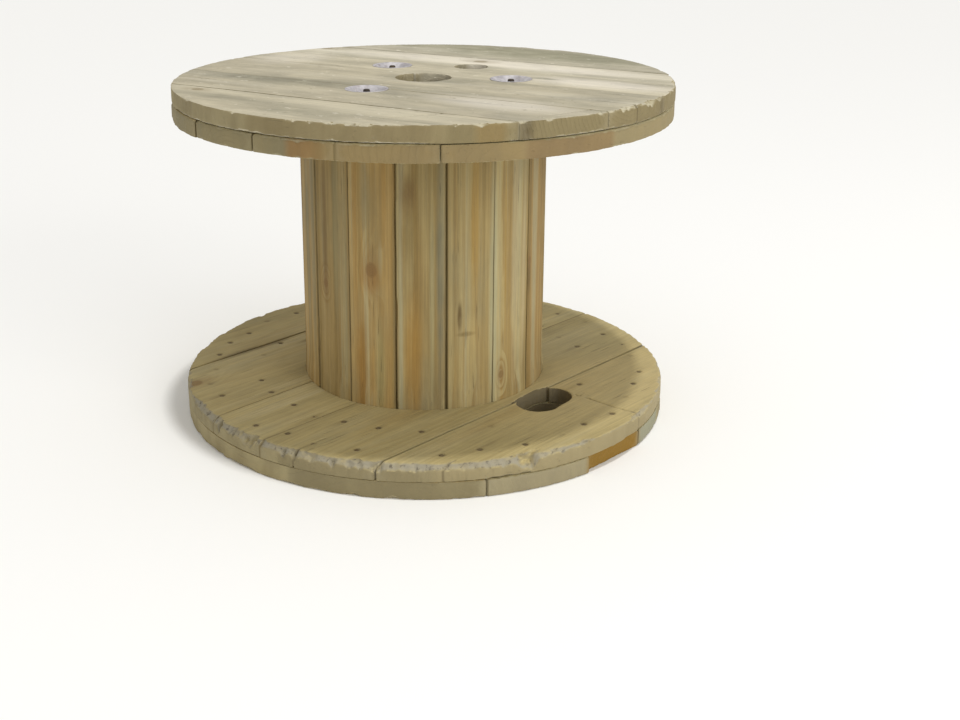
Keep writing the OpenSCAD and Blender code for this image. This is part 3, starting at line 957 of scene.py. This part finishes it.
    def plugs(self):
        """Cylinders that fill the nail holes: (x, y, low, high, radius)."""
        if self.inner:
            low, high, radius = self.floor, self.roof, HEAD_PLUG_R
        elif self.outside == self.roof:
            low, high, radius = self.floor, self.floor + NAIL_DEPTH, SHANK_PLUG_R
        else:
            low, high, radius = self.roof - NAIL_DEPTH, self.roof, SHANK_PLUG_R
        return [(x, y, low, high, radius) for x, y in self.nails]


def pith(random, flatness, middle, level):
    """Where the log's heart lies beside a piece: two coordinates, and how it drifts along."""
    if random.random() < flatness:
        across = middle + random.uniform(-0.03, 0.03)
        above = level + random.choice([-1, 1]) * random.uniform(0.03, 0.07)
    else:
        across = middle + random.choice([-1, 1]) * random.uniform(0.05, 0.14)
        above = level + random.uniform(-0.05, 0.05)
    return (across, above), random.uniform(-0.045, 0.045), random.uniform(-0.03, 0.03)


def store_grain(mesh, points, place, heart, low, high, marks, tone):
    """What the wood material reads. place is where a point is on its ply or on the barrel."""
    (y, z), drift_y, drift_z = heart
    attribute(mesh, "plan", points)
    attribute(mesh, "place", place)
    attribute(mesh, "log", np.column_stack([
        points[:, 0],
        points[:, 1] - y - drift_y * points[:, 0],
        points[:, 2] - z - drift_z * points[:, 0]]))
    attribute(mesh, "side", np.column_stack([
        points[:, 1] - low, high - points[:, 1], np.zeros(len(points))]))
    attribute(mesh, "marks", marks)
    attribute(mesh, "tone", np.tile(tone, (len(points), 1)))


def make_board(board, material):
    """The worn copy of a board, with its nail holes filled."""
    mesh = NODES[board.name].data.copy()
    set_corners(mesh, turned(corners(mesh), -board.turn))
    bm = bmesh.new()
    bm.from_mesh(mesh)
    for x, y, low, high, radius in board.plugs():
        bmesh.ops.create_cone(
            bm, cap_ends=True, segments=16, radius1=radius, radius2=radius, depth=high - low,
            matrix=Matrix.Translation((x, y, (low + high) / 2)))
    bm.to_mesh(mesh)
    bm.free()
    obj = linked("worn_" + board.name, mesh)
    rebuilt(obj, BOARD_TRIANGLES, board.aged)
    points = corners(obj.data)
    middle = (board.low + board.high) / 2
    heart = pith(board.random, 0.65, middle, (board.floor + board.roof) / 2)
    low = board.low if board.low_seam else -1.0
    high = board.high if board.high_seam else 1.0
    tone = board.random.uniform(0, 1, 3)
    store_grain(obj.data, points, points, heart, low, high, board.marks(points), tone)
    set_corners(obj.data, turned(points, board.turn))
    smooth(obj.data, WOOD_CREASE)
    finished(obj, material, board.ply["slot"], board.name)


def make_ply(ply_name, ply_seed, spots, rim_spots, pit_grime_and_hole_shade=None):
    """All boards of a ply, in one material. The last argument is the painted shade colour on the cable
    start hole's walls.
    """
    names = sorted(n for n in NODES if n.startswith(ply_name + "_board_"))
    turn = seam_turn(NODES[names[1]])
    holes = []
    if pit_grime_and_hole_shade:
        start, end, radius = hole_edges("bottom")[-1]
        middle = turned_place((start + end) / 2, -turn)
        holes = [(tuple(middle), radius + math.dist(start, end) / 2, *pit_grime_and_hole_shade)]
    look = dict(PLIES[ply_name]["look"], spots=spots, rim_spots=rim_spots, holes=holes)
    grain = Vector((math.cos(turn), math.sin(turn), 0))
    material = Wood("pine_" + ply_name, grain, look).material
    for k, name in enumerate(names):
        make_board(Board(name, ply_name, turn, ply_seed + 13 * k), material)


# ---------------------------------------------------------------- staves

# How far a stave's round outside has been planed to a flat, and the winding's two ends.
STAVE_FLAT = 0.55
GROOVE_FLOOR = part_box("bottom_inner_board_1")[1].z
GROOVE_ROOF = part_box("top_inner_board_1")[0].z


def stave_frame(name):
    """The way out through a stave's middle, as an angle, and its outer radius."""
    points = corners(NODES[name].data)
    reach = np.hypot(points[:, 0], points[:, 1])
    x, y = points[reach > reach.max() - SLIVER][:, :2].mean(0)
    return math.atan2(y, x), reach.max()


def lay_down(points, angle):
    """A stave's points with X up the stave, Y across it and Z out of the barrel."""
    p = turned(points, -angle)
    return np.column_stack([p[:, 2], -p[:, 1], p[:, 0]])


def stand_up(points, angle):
    """The way back from lay_down."""
    return turned(np.column_stack([points[:, 2], -points[:, 1], points[:, 0]]), angle)


class Stave:
    """One stave of the barrel, laid down. half is half the angle that it fills."""

    def __init__(self, name, seed):
        self.name = name
        self.seed = seed
        self.random = np.random.default_rng(seed)
        self.angle, self.outer = stave_frame(name)
        points = lay_down(corners(NODES[name].data), self.angle)
        self.low, self.high = points[:, 1].min(), points[:, 1].max()
        self.half = math.asin(min(self.high, -self.low) / self.outer)
        self.lean = self.random.uniform(-0.5, 0.5) * MM
        self.gaps = {-1: 0.0, 1: 0.0}

    def meet(self, neighbour):
        """Notes how wide the joint is to the stave before this one, going round."""
        turn = (self.angle - neighbour.angle) % (2 * math.pi) - self.half - neighbour.half
        self.gaps[1] = neighbour.gaps[-1] = turn * self.outer

    def sharpened(self, points):
        """The points with the outer arrises that the voxels rounded off drawn out again."""
        points = points.copy()
        reach, swing = self.polar(points)
        for sign in (-1, 1):
            side = np.abs(self.half - sign * swing) * reach
            edge = (side < ROUNDED_OFF) & (self.outer - reach < ROUNDED_OFF)
            points[edge, 1] = sign * self.outer * math.sin(self.half)
            points[edge, 2] = self.outer * math.cos(self.half)
        return points

    def polar(self, points):
        """The points' distance from the drum's axis, and their angle from the stave's middle."""
        across, out = points[:, 1], points[:, 2]
        return np.hypot(across, out), np.arctan2(across, out)

    def plane_outside(self, points, move):
        """The outside, nearly planed flat, a little tilted and rough, but round in the grooves."""
        across = points[:, 1]
        near = 1 - step(self.outer - self.polar(points)[0], 0, 14 * MM)
        flat = self.outer * math.cos(self.half)
        crown = np.sqrt(np.maximum(self.outer ** 2 - across ** 2, 0)) - flat
        surface = 0.25 * MM * (1 + noise(points, (8, 26, 1), self.seed + 1))
        surface = surface + 0.10 * MM * (1 + noise(points, (30, 260, 1), self.seed + 2))
        tilt = self.lean * across / self.high + abs(self.lean)
        from_groove = np.minimum(points[:, 0] - GROOVE_FLOOR, GROOVE_ROOF - points[:, 0])
        free = step(from_groove, 1 * MM, 40 * MM)
        move[:, 2] -= near * free * (STAVE_FLAT * crown + surface + tilt)

    def wear_joint(self, points, move, sign):
        """One outer arris, worn most at the foot, over a joint that closes just behind it."""
        reach, swing = self.polar(points)
        depth = self.outer - reach
        side = (self.half - sign * swing) * reach
        along = points * (1, sign, 0)
        steady = 1 + 0.5 * noise(along, (22, 1, 1), self.seed + 3)
        bites = noise(along, (16, 60, 1), self.seed + 4)
        bites = np.clip(bites + 0.6 * noise(points, (60, 150, 1), self.seed + 5) - 0.45, 0, 1)
        foot = 1 - step(points[:, 0], 0.05, 0.085)
        size = (0.5 * steady + (2.0 + 3.5 * foot) * bites) * MM
        cut = np.clip(size - side - depth, 0, None)
        move[:, 1] -= sign * cut / 2
        move[:, 2] -= cut / 2
        swollen = MM * (0.4 + 0.25 * noise(along, (5, 1, 1), self.seed + 6))
        shut = step(depth, 1.0 * MM, 5 * MM)
        outward_by = (1 - shut) * swollen + shut * (self.gaps[sign] / 2 - 0.1 * MM)
        move[:, 1] += sign * outward_by * (1 - step(side, 0, 5 * MM))

    def aged(self, points):
        """The points after years of use."""
        points = self.sharpened(points)
        move = np.zeros_like(points)
        self.plane_outside(points, move)
        for sign in (-1, 1):
            self.wear_joint(points, move, sign)
        return points + move

    def marks(self, points):
        """No nail stains or splits, and torn arrises, each from 0 to 1."""
        reach, swing = self.polar(points)
        worn = np.zeros(len(points))
        for sign in (-1, 1):
            side = (self.half - sign * swing) * reach - 0.6 * MM
            inset = np.minimum(side, self.outer - reach - 1.6 * MM)
            worn = np.maximum(worn, step(inset, 0.2 * MM, 1.4 * MM) * (side < 8 * MM))
        zero = np.zeros(len(points))
        return np.column_stack([zero, zero, 0.7 * worn])


def make_stave(stave, material):
    """The worn copy of a stave."""
    mesh = NODES[stave.name].data.copy()
    set_corners(mesh, lay_down(corners(mesh), stave.angle))
    obj = linked("worn_" + stave.name, mesh)
    rebuilt(obj, STAVE_TRIANGLES, stave.aged)
    points = corners(obj.data)
    heart = pith(stave.random, 0.5, 0.0, stave.outer)
    tone = stave.random.uniform(0, 1, 3)
    swing = stave.angle + np.arctan2(-points[:, 1], points[:, 2])
    place = np.column_stack([swing * stave.outer, points[:, 0], np.zeros(len(points))])
    store_grain(obj.data, points, place, heart, stave.low, stave.high, stave.marks(points), tone)
    set_corners(obj.data, stand_up(points, stave.angle))
    smooth(obj.data, WOOD_CREASE)
    finished(obj, material, "barrel_staves", stave.name)


# ---------------------------------------------------------------- steel

# How far a nail may lean, in radians, and the sides that round hardware is drawn with.
NAIL_LEAN = 0.035
WASHER_SIDES = 72
ROD_SIDES = 24
NAIL_SIDES = 14


def steel(name, base, dull, rust, metallic, rough, rust_amount, cells):
    """Bare or zinc-coated steel with so many crystals a metre, a dull film and rust."""
    g = Graph(name)
    place = g.add("ShaderNodeTexCoord").outputs["Object"]
    voronoi = g.add("ShaderNodeTexVoronoi")
    g.feed(voronoi.inputs["Vector"], place)
    g.feed(voronoi.inputs["Scale"], cells)
    spangle = g.split(voronoi.outputs["Color"])[0]
    film = g.noise(g.vector("MULTIPLY", place, (60, 60, 60)), 4, 0.6)
    grain = g.noise(g.vector("MULTIPLY", place, (900, 900, 900)), 3, 0.6)
    colour = g.mix(g.ramp(film, 0.4, 0.65), base, dull)
    shade = g.math("MULTIPLY_ADD", spangle, 0.22, 0.89)
    shade = g.times(shade, g.ramp(grain, 0.3, 0.7, 0.92, 1.06))
    colour = g.mix(1.0, colour, g.grey(shade), "MULTIPLY")
    patch = g.noise(g.vector("MULTIPLY", place, (130, 130, 130)), 4, 0.65, 3.0)
    rusty = g.times(g.ramp(patch, 0.5, 0.68), rust_amount)
    colour = g.mix(rusty, colour, rust)
    g.feed(g.shader.inputs["Base Color"], colour)
    g.feed(g.shader.inputs["Metallic"], g.math("MULTIPLY_ADD", rusty, -metallic, metallic))
    g.feed(g.shader.inputs["Roughness"], g.math("MULTIPLY_ADD", film, 0.25, rough))
    height = g.math("MULTIPLY_ADD", rusty, 0.8, g.times(grain, 0.5))
    g.bump(height, 0.25 * MM, 0.5)
    return g.material


def lathe(bm, profile, segments, place, closed, shape):
    """Turns a profile of (radius, z) about an axis. shape(angle, radius, z) gives each radius."""
    rings = []
    for radius, z in profile:
        ring = []
        for k in range(segments):
            angle = 2 * math.pi * k / segments
            r = shape(angle, radius, z)
            ring.append(bm.verts.new(place @ Vector((r * math.cos(angle), r * math.sin(angle), z))))
        rings.append(ring)
    pairs = list(zip(rings, rings[1:])) + ([(rings[-1], rings[0])] if closed else [])
    for one, two in pairs:
        for k in range(segments):
            after = (k + 1) % segments
            bm.faces.new((one[k], one[after], two[after], two[k]))
    if not closed:
        bm.faces.new(rings[0][::-1])
        bm.faces.new(rings[-1])


def mesh_from(name, build, degrees=35):
    """An object whose mesh is what build(bm) draws."""
    bm = bmesh.new()
    build(bm)
    bmesh.ops.recalc_face_normals(bm, faces=bm.faces)
    mesh = bpy.data.meshes.new(name)
    bm.to_mesh(mesh)
    bm.free()
    smooth(mesh, degrees)
    return linked(name, mesh)


def middle_of(node):
    """The middle of a node's box."""
    low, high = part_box(node)
    return (low + high) / 2


def upright(place, top):
    """Stands a part drawn with its open side at z = 0 on a flange's face, in or out of the wood."""
    matrix = Matrix.Translation(place)
    return matrix if top else matrix @ Matrix.Rotation(math.pi, 4, "X")


def cup_washer(name, node, top, material):
    """Pressed cup with a rolled lip, in its conical seat. z = 0 is the flange's face."""
    low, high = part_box(node)
    lip = (high.x - low.x) / 2
    depth = high.z - low.z
    sheet, floor, hole = 2.2 * MM, 13.2 * MM, 5.7 * MM
    slope = (lip - floor) / depth
    profile = [
        (hole, -depth + 0.3 * MM), (hole + 0.3 * MM, -depth + 0.05 * MM),
        (floor - 0.2 * MM, -depth + 0.05 * MM), (floor + 0.8 * MM, -depth + 0.9 * MM),
        (lip - 1.2 * MM * slope - 0.15 * MM, -1.2 * MM), (lip - 0.15 * MM, -0.5 * MM),
        (lip - 0.35 * MM, -0.15 * MM), (lip - 0.9 * MM, -0.02 * MM),
        (lip - 2.0 * MM, -0.1 * MM), (lip - 3.1 * MM, -0.7 * MM),
        (lip - 4.2 * MM - 1.2 * MM * slope, -2.2 * MM),
        (floor + 1.8 * MM, -depth + sheet + 2.6 * MM), (floor + 0.2 * MM, -depth + sheet + 1.0 * MM),
        (floor - 1.6 * MM, -depth + sheet + 0.15 * MM), (hole + 1.0 * MM, -depth + sheet),
        (hole + 0.3 * MM, -depth + sheet - 0.1 * MM), (hole, -depth + sheet - 0.5 * MM),
    ]
    centre = middle_of(node)
    face = high.z if top else low.z

    def dented(angle, radius, z):
        dent = 0.18 * MM * math.sin(3 * angle + 40 * centre.x) + 0.12 * MM * math.sin(7 * angle)
        return radius + dent * (1 if z > -0.6 * depth and radius < lip - 1.0 * MM else 0)

    place = upright(Vector((centre.x, centre.y, face)), top)
    obj = mesh_from(name, lambda bm: lathe(bm, profile, WASHER_SIDES, place, True, dented), 50)
    finished(obj, material, "zinc_washers", node)


def hex_nut(name, node, top, material):
    """Chamfered nut with a bevelled bore, turned the way its CAD node is."""
    low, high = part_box(node)
    points = corners(NODES[node].data)
    centre = middle_of(node)
    away = points[:, :2] - (centre.x, centre.y)
    far = np.hypot(away[:, 0], away[:, 1])
    corner = away[far.argmax()]
    turn = math.atan2(corner[1], corner[0]) * (1 if top else -1)
    flats = far.max() * math.cos(math.pi / 6)
    height = high.z - low.z
    bore = 5.08 * MM

    def hexagon(angle, radius, z):
        if radius < flats * 0.8:
            return radius
        swing = (angle - turn + math.pi / 6) % (math.pi / 3) - math.pi / 6
        side = flats / math.cos(math.pi / 6 - abs(swing))
        end = min(-z, height + z)
        return min(side, flats * 0.95 + end * 1.75)

    chamfer = [0, 0.15, 0.35, 0.6, 0.9, 1.2]
    outside = [(flats, -r * MM) for r in chamfer]
    outside += [(flats, -height + r * MM) for r in chamfer[::-1]]
    profile = [(bore, -0.7 * MM), (bore + 0.6 * MM, -0.05 * MM), (bore + 1.0 * MM, 0)] + outside
    profile += [(bore + 0.8 * MM, -height), (bore, -height + 0.7 * MM)]
    place = upright(Vector((centre.x, centre.y, high.z if top else low.z)), top)
    obj = mesh_from(name, lambda bm: lathe(bm, profile, WASHER_SIDES, place, True, hexagon), 25)
    finished(obj, material, "zinc_nuts", node)


def tie_rod(name, node, material):
    """Rod with a rolled thread at each end."""
    low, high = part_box(node)
    radius = (high.x - low.x) / 2
    length = high.z - low.z
    pitch, deep, threaded, rows = 1.5 * MM, 0.85 * MM, 36 * MM, 6
    steps = [k * pitch / rows for k in range(int(threaded / pitch * rows) + 1)]
    heights = steps + [length - s for s in reversed(steps)]

    def thread(angle, _, z):
        end = min(z, length - z)
        wave = abs(((z / pitch - angle / (2 * math.pi)) % 1) * 2 - 1)
        crest = radius - deep * (1 - min(1, wave * 1.25))
        crest = crest if end < threaded - 2 * MM else radius - 0.1 * MM
        return min(crest, radius * 0.72 + end * 0.9)

    centre = middle_of(node)
    place = Matrix.Translation((centre.x, centre.y, low.z))
    profile = [(radius, z) for z in heights]
    obj = mesh_from(name, lambda bm: lathe(bm, profile, ROD_SIDES, place, False, thread), 50)
    finished(obj, material, "dark_steel", node)


def nail_ring(name, node, material, seed):
    """A ring of hand-driven nails: hammered heads, round shanks and points."""
    random = np.random.default_rng(seed)
    low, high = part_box(node)
    top = low.z > WINDING_MIDDLE
    head_z = low.z if top else high.z
    length = high.z - low.z
    head, shank, thick, point = 4.0 * MM, 1.7 * MM, 1.5 * MM, 6.0 * MM
    profile = [
        (0.15 * MM, -0.02 * MM), (head * 0.55, -0.06 * MM), (head * 0.86, -0.22 * MM),
        (head, -0.55 * MM), (head * 0.97, -thick * 0.75), (head * 0.7, -thick),
        (shank * 1.15, -thick - 0.7 * MM), (shank, -thick - 1.8 * MM),
        (shank, -length + point), (shank * 0.55, -length + point * 0.35), (0.12 * MM, -length),
    ]

    def build(bm):
        for x, y in nail_places(node):
            lean = Matrix.Rotation(random.uniform(-NAIL_LEAN, NAIL_LEAN), 4, "X")
            lean = lean @ Matrix.Rotation(random.uniform(-NAIL_LEAN, NAIL_LEAN), 4, "Y")
            phase = random.uniform(0, 6.28)
            spread = random.uniform(0.7, 0.95)

            def battered(angle, radius, z):
                uneven = 1 + 0.05 * math.sin(3 * angle + phase) + 0.03 * math.sin(5 * angle)
                return radius * (uneven * spread if z > -thick else 1)

            place = upright(Vector((x, y, head_z)), not top) @ lean
            lathe(bm, profile, NAIL_SIDES, place, False, battered)

    obj = mesh_from(name, build, 40)
    finished(obj, material, "dark_steel", node)


# ---------------------------------------------------------------- the drum

# Weathering of the two faces that show, in metres of the ply's own plan: middle, half size,
# turn in degrees, colour and strength.
PALE = rgb(230, 222, 206)
CREAM = rgb(214, 205, 180)
GREY_GREEN = rgb(152, 149, 122)
SLATE = rgb(142, 138, 118)
TOP_SPOTS = [
    ((0.00, 0.285), (0.420, 0.085), 0, GREY_GREEN, 0.8),
    ((0.02, 0.168), (0.420, 0.050), 0, PALE, 0.85),
    ((-0.15, -0.125), (0.190, 0.040), 4, SLATE, 0.8),
    ((-0.17, -0.060), (0.150, 0.024), 2, CREAM, 0.6),
    ((0.20, -0.135), (0.150, 0.055), -3, PALE, 0.75),
    ((0.02, -0.015), (0.110, 0.030), 3, SLATE, 0.85),
    ((0.24, 0.070), (0.170, 0.050), 0, PALE, 0.8),
    ((0.15, 0.075), (0.040, 0.012), 0, SLATE, 0.8),
    ((0.02, 0.130), (0.060, 0.020), 0, SLATE, 0.6),
    ((0.10, 0.010), (0.120, 0.016), 2, SLATE, 0.6),
    ((0.10, -0.250), (0.240, 0.040), 0, CREAM, 0.5),
    ((-0.20, -0.230), (0.120, 0.035), 0, CREAM, 0.5),
    ((0.02, -0.315), (0.100, 0.030), 0, SLATE, 0.6),
    ((-0.28, 0.06), (0.080, 0.100), 0, PALE, 0.5),
]
OLIVE = rgb(142, 128, 80)
OCHRE = rgb(162, 134, 78)
FLOOR_SPOTS = [
    ((0.11, -0.240), (0.280, 0.150), 0, rgb(200, 181, 131), 0.65),
    ((-0.13, 0.235), (0.130, 0.011), 0, rgb(104, 90, 58), 0.85),
    ((-0.04, 0.205), (0.050, 0.008), 3, rgb(104, 88, 50), 0.8),
    ((-0.10, -0.110), (0.200, 0.035), 3, OCHRE, 0.4),
    ((0.00, 0.10), (0.250, 0.040), 0, OLIVE, 0.5),
    ((-0.05, -0.22), (0.20, 0.020), 0, OCHRE, 0.35),
    ((0.02, -0.13), (0.16, 0.05), 0, OLIVE, 0.4),
    ((0.20, -0.10), (0.200, 0.060), 0, rgb(182, 170, 132), 0.5),
]
# Painted shade on the walls of the cable start hole: colour and strength.
HOLE_WALL_SHADE = (rgb(100, 88, 62), 0.88)
# Rim colours: from and to in degrees, colour and strength.
# Lower flange, lower ply: the band from the front-left to the front is painted shade; the ochre band is a
# short board's end.
LOWER_RIM_TINTS_AND_SHADE = [
    (-120, -78, rgb(128, 117, 86), 0.7),
    (-78, -33, rgb(152, 142, 114), 0.6),
    (-52.5, -33.5, rgb(138, 106, 38), 1.0),
    (-32.5, -20, rgb(150, 150, 128), 0.8),
]
# Lower flange, upper ply: darker at the front-left and lighter at the right, painted shade and painted
# light over its weathered colour.
LOWER_TOP_RIM_LIGHT_AND_SHADE = [
    (-120, -88, rgb(138, 126, 94), 0.5),
    (-88, -30, rgb(154, 140, 104), 0.7),
    (-30, 10, rgb(166, 152, 116), 0.6),
]
UPPER_RIM = [
    (-128, -86, rgb(132, 117, 82), 0.6),
    (-86, 20, rgb(128, 115, 81), 0.75),
    (-80, -74, rgb(142, 118, 70), 0.5),
    (-71.5, -68.5, rgb(92, 80, 54), 0.8),
    (-29.5, -27.5, rgb(98, 86, 60), 0.7),
]
UPPER_UNDER_RIM = [
    (-180, -118, rgb(128, 120, 90), 0.6),
    (-118, -110, rgb(140, 106, 60), 0.7),
    (-112, -70, rgb(134, 113, 72), 0.6),
    (-70, -48, rgb(126, 103, 68), 0.75),
    (-48, 20, rgb(142, 128, 92), 0.75),
]

# Marks on the barrel: direction in degrees, height, half width in degrees, half height,
# colour and strength.
BARREL_MARKS = [
    (-57.5, 0.20, 3.2, 0.30, rgb(176, 172, 136), 0.85),
    (-82.6, 0.25, 2.8, 0.26, rgb(128, 124, 100), 0.8),
    (-86.5, 0.20, 1.6, 0.22, rgb(172, 162, 120), 0.6),
    (-50.8, 0.28, 1.1, 0.22, rgb(166, 132, 58), 0.8),
    (-44, 0.27, 3.6, 0.26, rgb(178, 164, 126), 0.8),
    (-38, 0.24, 2.2, 0.22, rgb(184, 168, 130), 0.6),
    (-97, 0.352, 5.0, 0.042, rgb(120, 94, 54), 0.75),
    (-97, 0.300, 6.0, 0.060, rgb(134, 114, 68), 0.5),
    (-74, 0.180, 1.6, 0.030, rgb(96, 76, 42), 0.9),
    (-71, 0.155, 6.0, 0.005, rgb(110, 90, 52), 0.8),
    (-67, 0.30, 3.0, 0.20, rgb(164, 132, 66), 0.7),
    (-95, 0.12, 6.0, 0.14, rgb(170, 132, 66), 0.7),
    (-114, 0.30, 8.0, 0.12, rgb(136, 122, 84), 0.6),
    (-114.5, 0.235, 6.5, 0.030, rgb(152, 114, 62), 0.7),
    (-109.5, 0.262, 1.6, 0.040, rgb(170, 158, 120), 0.45),
    (-117, 0.36, 3.0, 0.10, rgb(146, 136, 102), 0.6),
    (-119, 0.10, 4.0, 0.12, rgb(150, 112, 52), 0.75),
    (-110, 0.10, 3.5, 0.10, rgb(152, 142, 96), 0.7),
    (-141, 0.30, 2.4, 0.16, rgb(124, 100, 62), 0.7),
    (-133, 0.30, 3.5, 0.20, rgb(150, 142, 104), 0.6),
    (-127, 0.25, 1.2, 0.25, rgb(160, 148, 108), 0.6),
    (-152, 0.25, 4.0, 0.25, rgb(128, 120, 88), 0.7),
    (-160, 0.25, 4.0, 0.25, rgb(124, 118, 90), 0.7),
    (-34, 0.22, 2.2, 0.04, rgb(108, 88, 50), 0.7),
]
# Knots in the barrel: direction in degrees, height, radius in millimetres.
BARREL_KNOTS = [(-114, 0.246, 9), (-141, 0.212, 5), (-52.5, 0.085, 5), (-33.5, 0.240, 5)]


def on_barrel(degrees, height):
    """A place on the barrel: its distance round from the X axis, and its height."""
    return math.radians(degrees) * BARREL_R, height


def make_barrel():
    """The staves, in one material. Each knows how far off its neighbours stand."""
    look = dict(
        STAVES,
        placed_knots=[(on_barrel(a, z), r * MM) for a, z, r in BARREL_KNOTS],
        spots=[(on_barrel(a, z), on_barrel(w, h), 0, tint, amount)
               for a, z, w, h, tint, amount in BARREL_MARKS])
    material = Wood("pine_staves", Vector((0, 0, 1)), look).material
    names = sorted(n for n in NODES if n.startswith("stave_"))
    staves = [Stave(name, 5000 + 17 * k) for k, name in enumerate(names)]
    around = sorted(staves, key=lambda stave: stave.angle)
    for before, stave in zip(around[-1:] + around[:-1], around):
        stave.meet(before)
    for stave in staves:
        make_stave(stave, material)


def make_hardware():
    """Tie rods with their cup washers and nuts, and the nails."""
    zinc = steel("zinc_coat", rgb(178, 174, 177), rgb(204, 201, 203), rgb(120, 84, 54),
                 metallic=0.4, rough=0.5, rust_amount=0.25, cells=190)
    nut_zinc = steel("zinc_nut", rgb(120, 116, 126), rgb(150, 146, 156), rgb(110, 74, 46),
                     metallic=0.6, rough=0.4, rust_amount=0.45, cells=260)
    nail_iron = steel("nail_iron", rgb(104, 90, 62), rgb(118, 103, 74), rgb(106, 82, 50),
                      metallic=0.05, rough=0.7, rust_amount=0.7, cells=500)
    dark = steel("dark_steel", rgb(58, 50, 42), rgb(76, 66, 52), rgb(98, 72, 44),
                 metallic=0.15, rough=0.6, rust_amount=0.8, cells=420)
    for rod in sorted(n for n in NODES if n.startswith("tie_rod_")):
        number = rod.split("_")[-1]
        tie_rod("threaded_" + rod, rod, dark)
        for end in ("top", "bottom"):
            cup = f"{end}_cup_washer_{number}"
            nut = f"{end}_nut_{number}"
            cup_washer("pressed_" + cup, cup, end == "top", zinc)
            hex_nut("chamfered_" + nut, nut, end == "top", nut_zinc)
    for k, ring in enumerate(sorted(n for n in NODES if n.endswith("_nails"))):
        nail_ring("driven_" + ring, ring, nail_iron, 6000 + k)


# ---------------------------------------------------------------- stage

def make_floor():
    """A wide pale floor just under the drum."""
    reach = 30.0
    obj = mesh_from("floor", lambda bm: bmesh.ops.create_grid(
        bm, x_segments=1, y_segments=1, size=reach, matrix=Matrix.Translation((0, 0, -0.5 * MM))))
    g = Graph("pale_floor")
    g.shader.inputs["Base Color"].default_value = (0.93, 0.93, 0.92, 1)
    g.shader.inputs["Roughness"].default_value = 0.9
    g.shader.inputs["Specular IOR Level"].default_value = 0.1
    obj.data.materials.append(g.material)


def make_light():
    """An even bright sky, a sun nearly overhead, and a soft lamp at the right."""
    world = bpy.data.worlds.new("studio")
    bpy.context.scene.world = world
    world.use_nodes = True
    background = world.node_tree.nodes["Background"]
    background.inputs["Color"].default_value = (1.0, 0.99, 0.97, 1)
    background.inputs["Strength"].default_value = 0.62
    sun = bpy.data.lights.new("key", "SUN")
    sun.energy = 1.15
    sun.angle = math.radians(3)
    sun.color = (1.0, 0.99, 0.96)
    key = linked("key", sun)
    tilt, azimuth = math.radians(5.2), math.radians(-33)
    toward = Vector((math.sin(tilt) * math.cos(azimuth), math.sin(tilt) * math.sin(azimuth),
                     math.cos(tilt)))
    key.rotation_euler = toward.to_track_quat("Z", "Y").to_euler()
    area = bpy.data.lights.new("side_fill", "AREA")
    area.shape = "DISK"
    area.size = 2.2
    area.energy = 45
    fill = linked("side_fill", area)
    fill.location = (2.4, -2.4, 1.5)
    aim = Vector((0, 0, WINDING_MIDDLE)) - fill.location
    fill.rotation_euler = aim.to_track_quat("-Z", "Y").to_euler()


def make_camera():
    """The photograph's place and lens: low in front, looking down on the drum."""
    data = bpy.data.cameras.new("camera")
    camera = linked("camera", data)
    data.sensor_width = 36
    data.lens = 48.74
    data.shift_x = 0.0584
    data.shift_y = -0.1146
    data.clip_end = 100
    pitch, roll = 0.2884, -0.0033
    camera.location = (0, -1.8472, 0.7743)
    turn = Matrix.Rotation(math.pi / 2 - pitch, 4, "X") @ Matrix.Rotation(roll, 4, "Z")
    camera.rotation_euler = turn.to_euler()
    bpy.context.scene.camera = camera


make_ply("top_outer", 1000, TOP_SPOTS, UPPER_RIM)
make_ply("top_inner", 2000, [], UPPER_UNDER_RIM)
make_ply("bottom_inner", 3000, FLOOR_SPOTS, LOWER_TOP_RIM_LIGHT_AND_SHADE, HOLE_WALL_SHADE)
make_ply("bottom_outer", 4000, [], LOWER_RIM_TINTS_AND_SHADE, HOLE_WALL_SHADE)
make_barrel()
make_hardware()
make_camera()
make_floor()
make_light()
bpy.context.scene.view_settings.view_transform = "Standard"
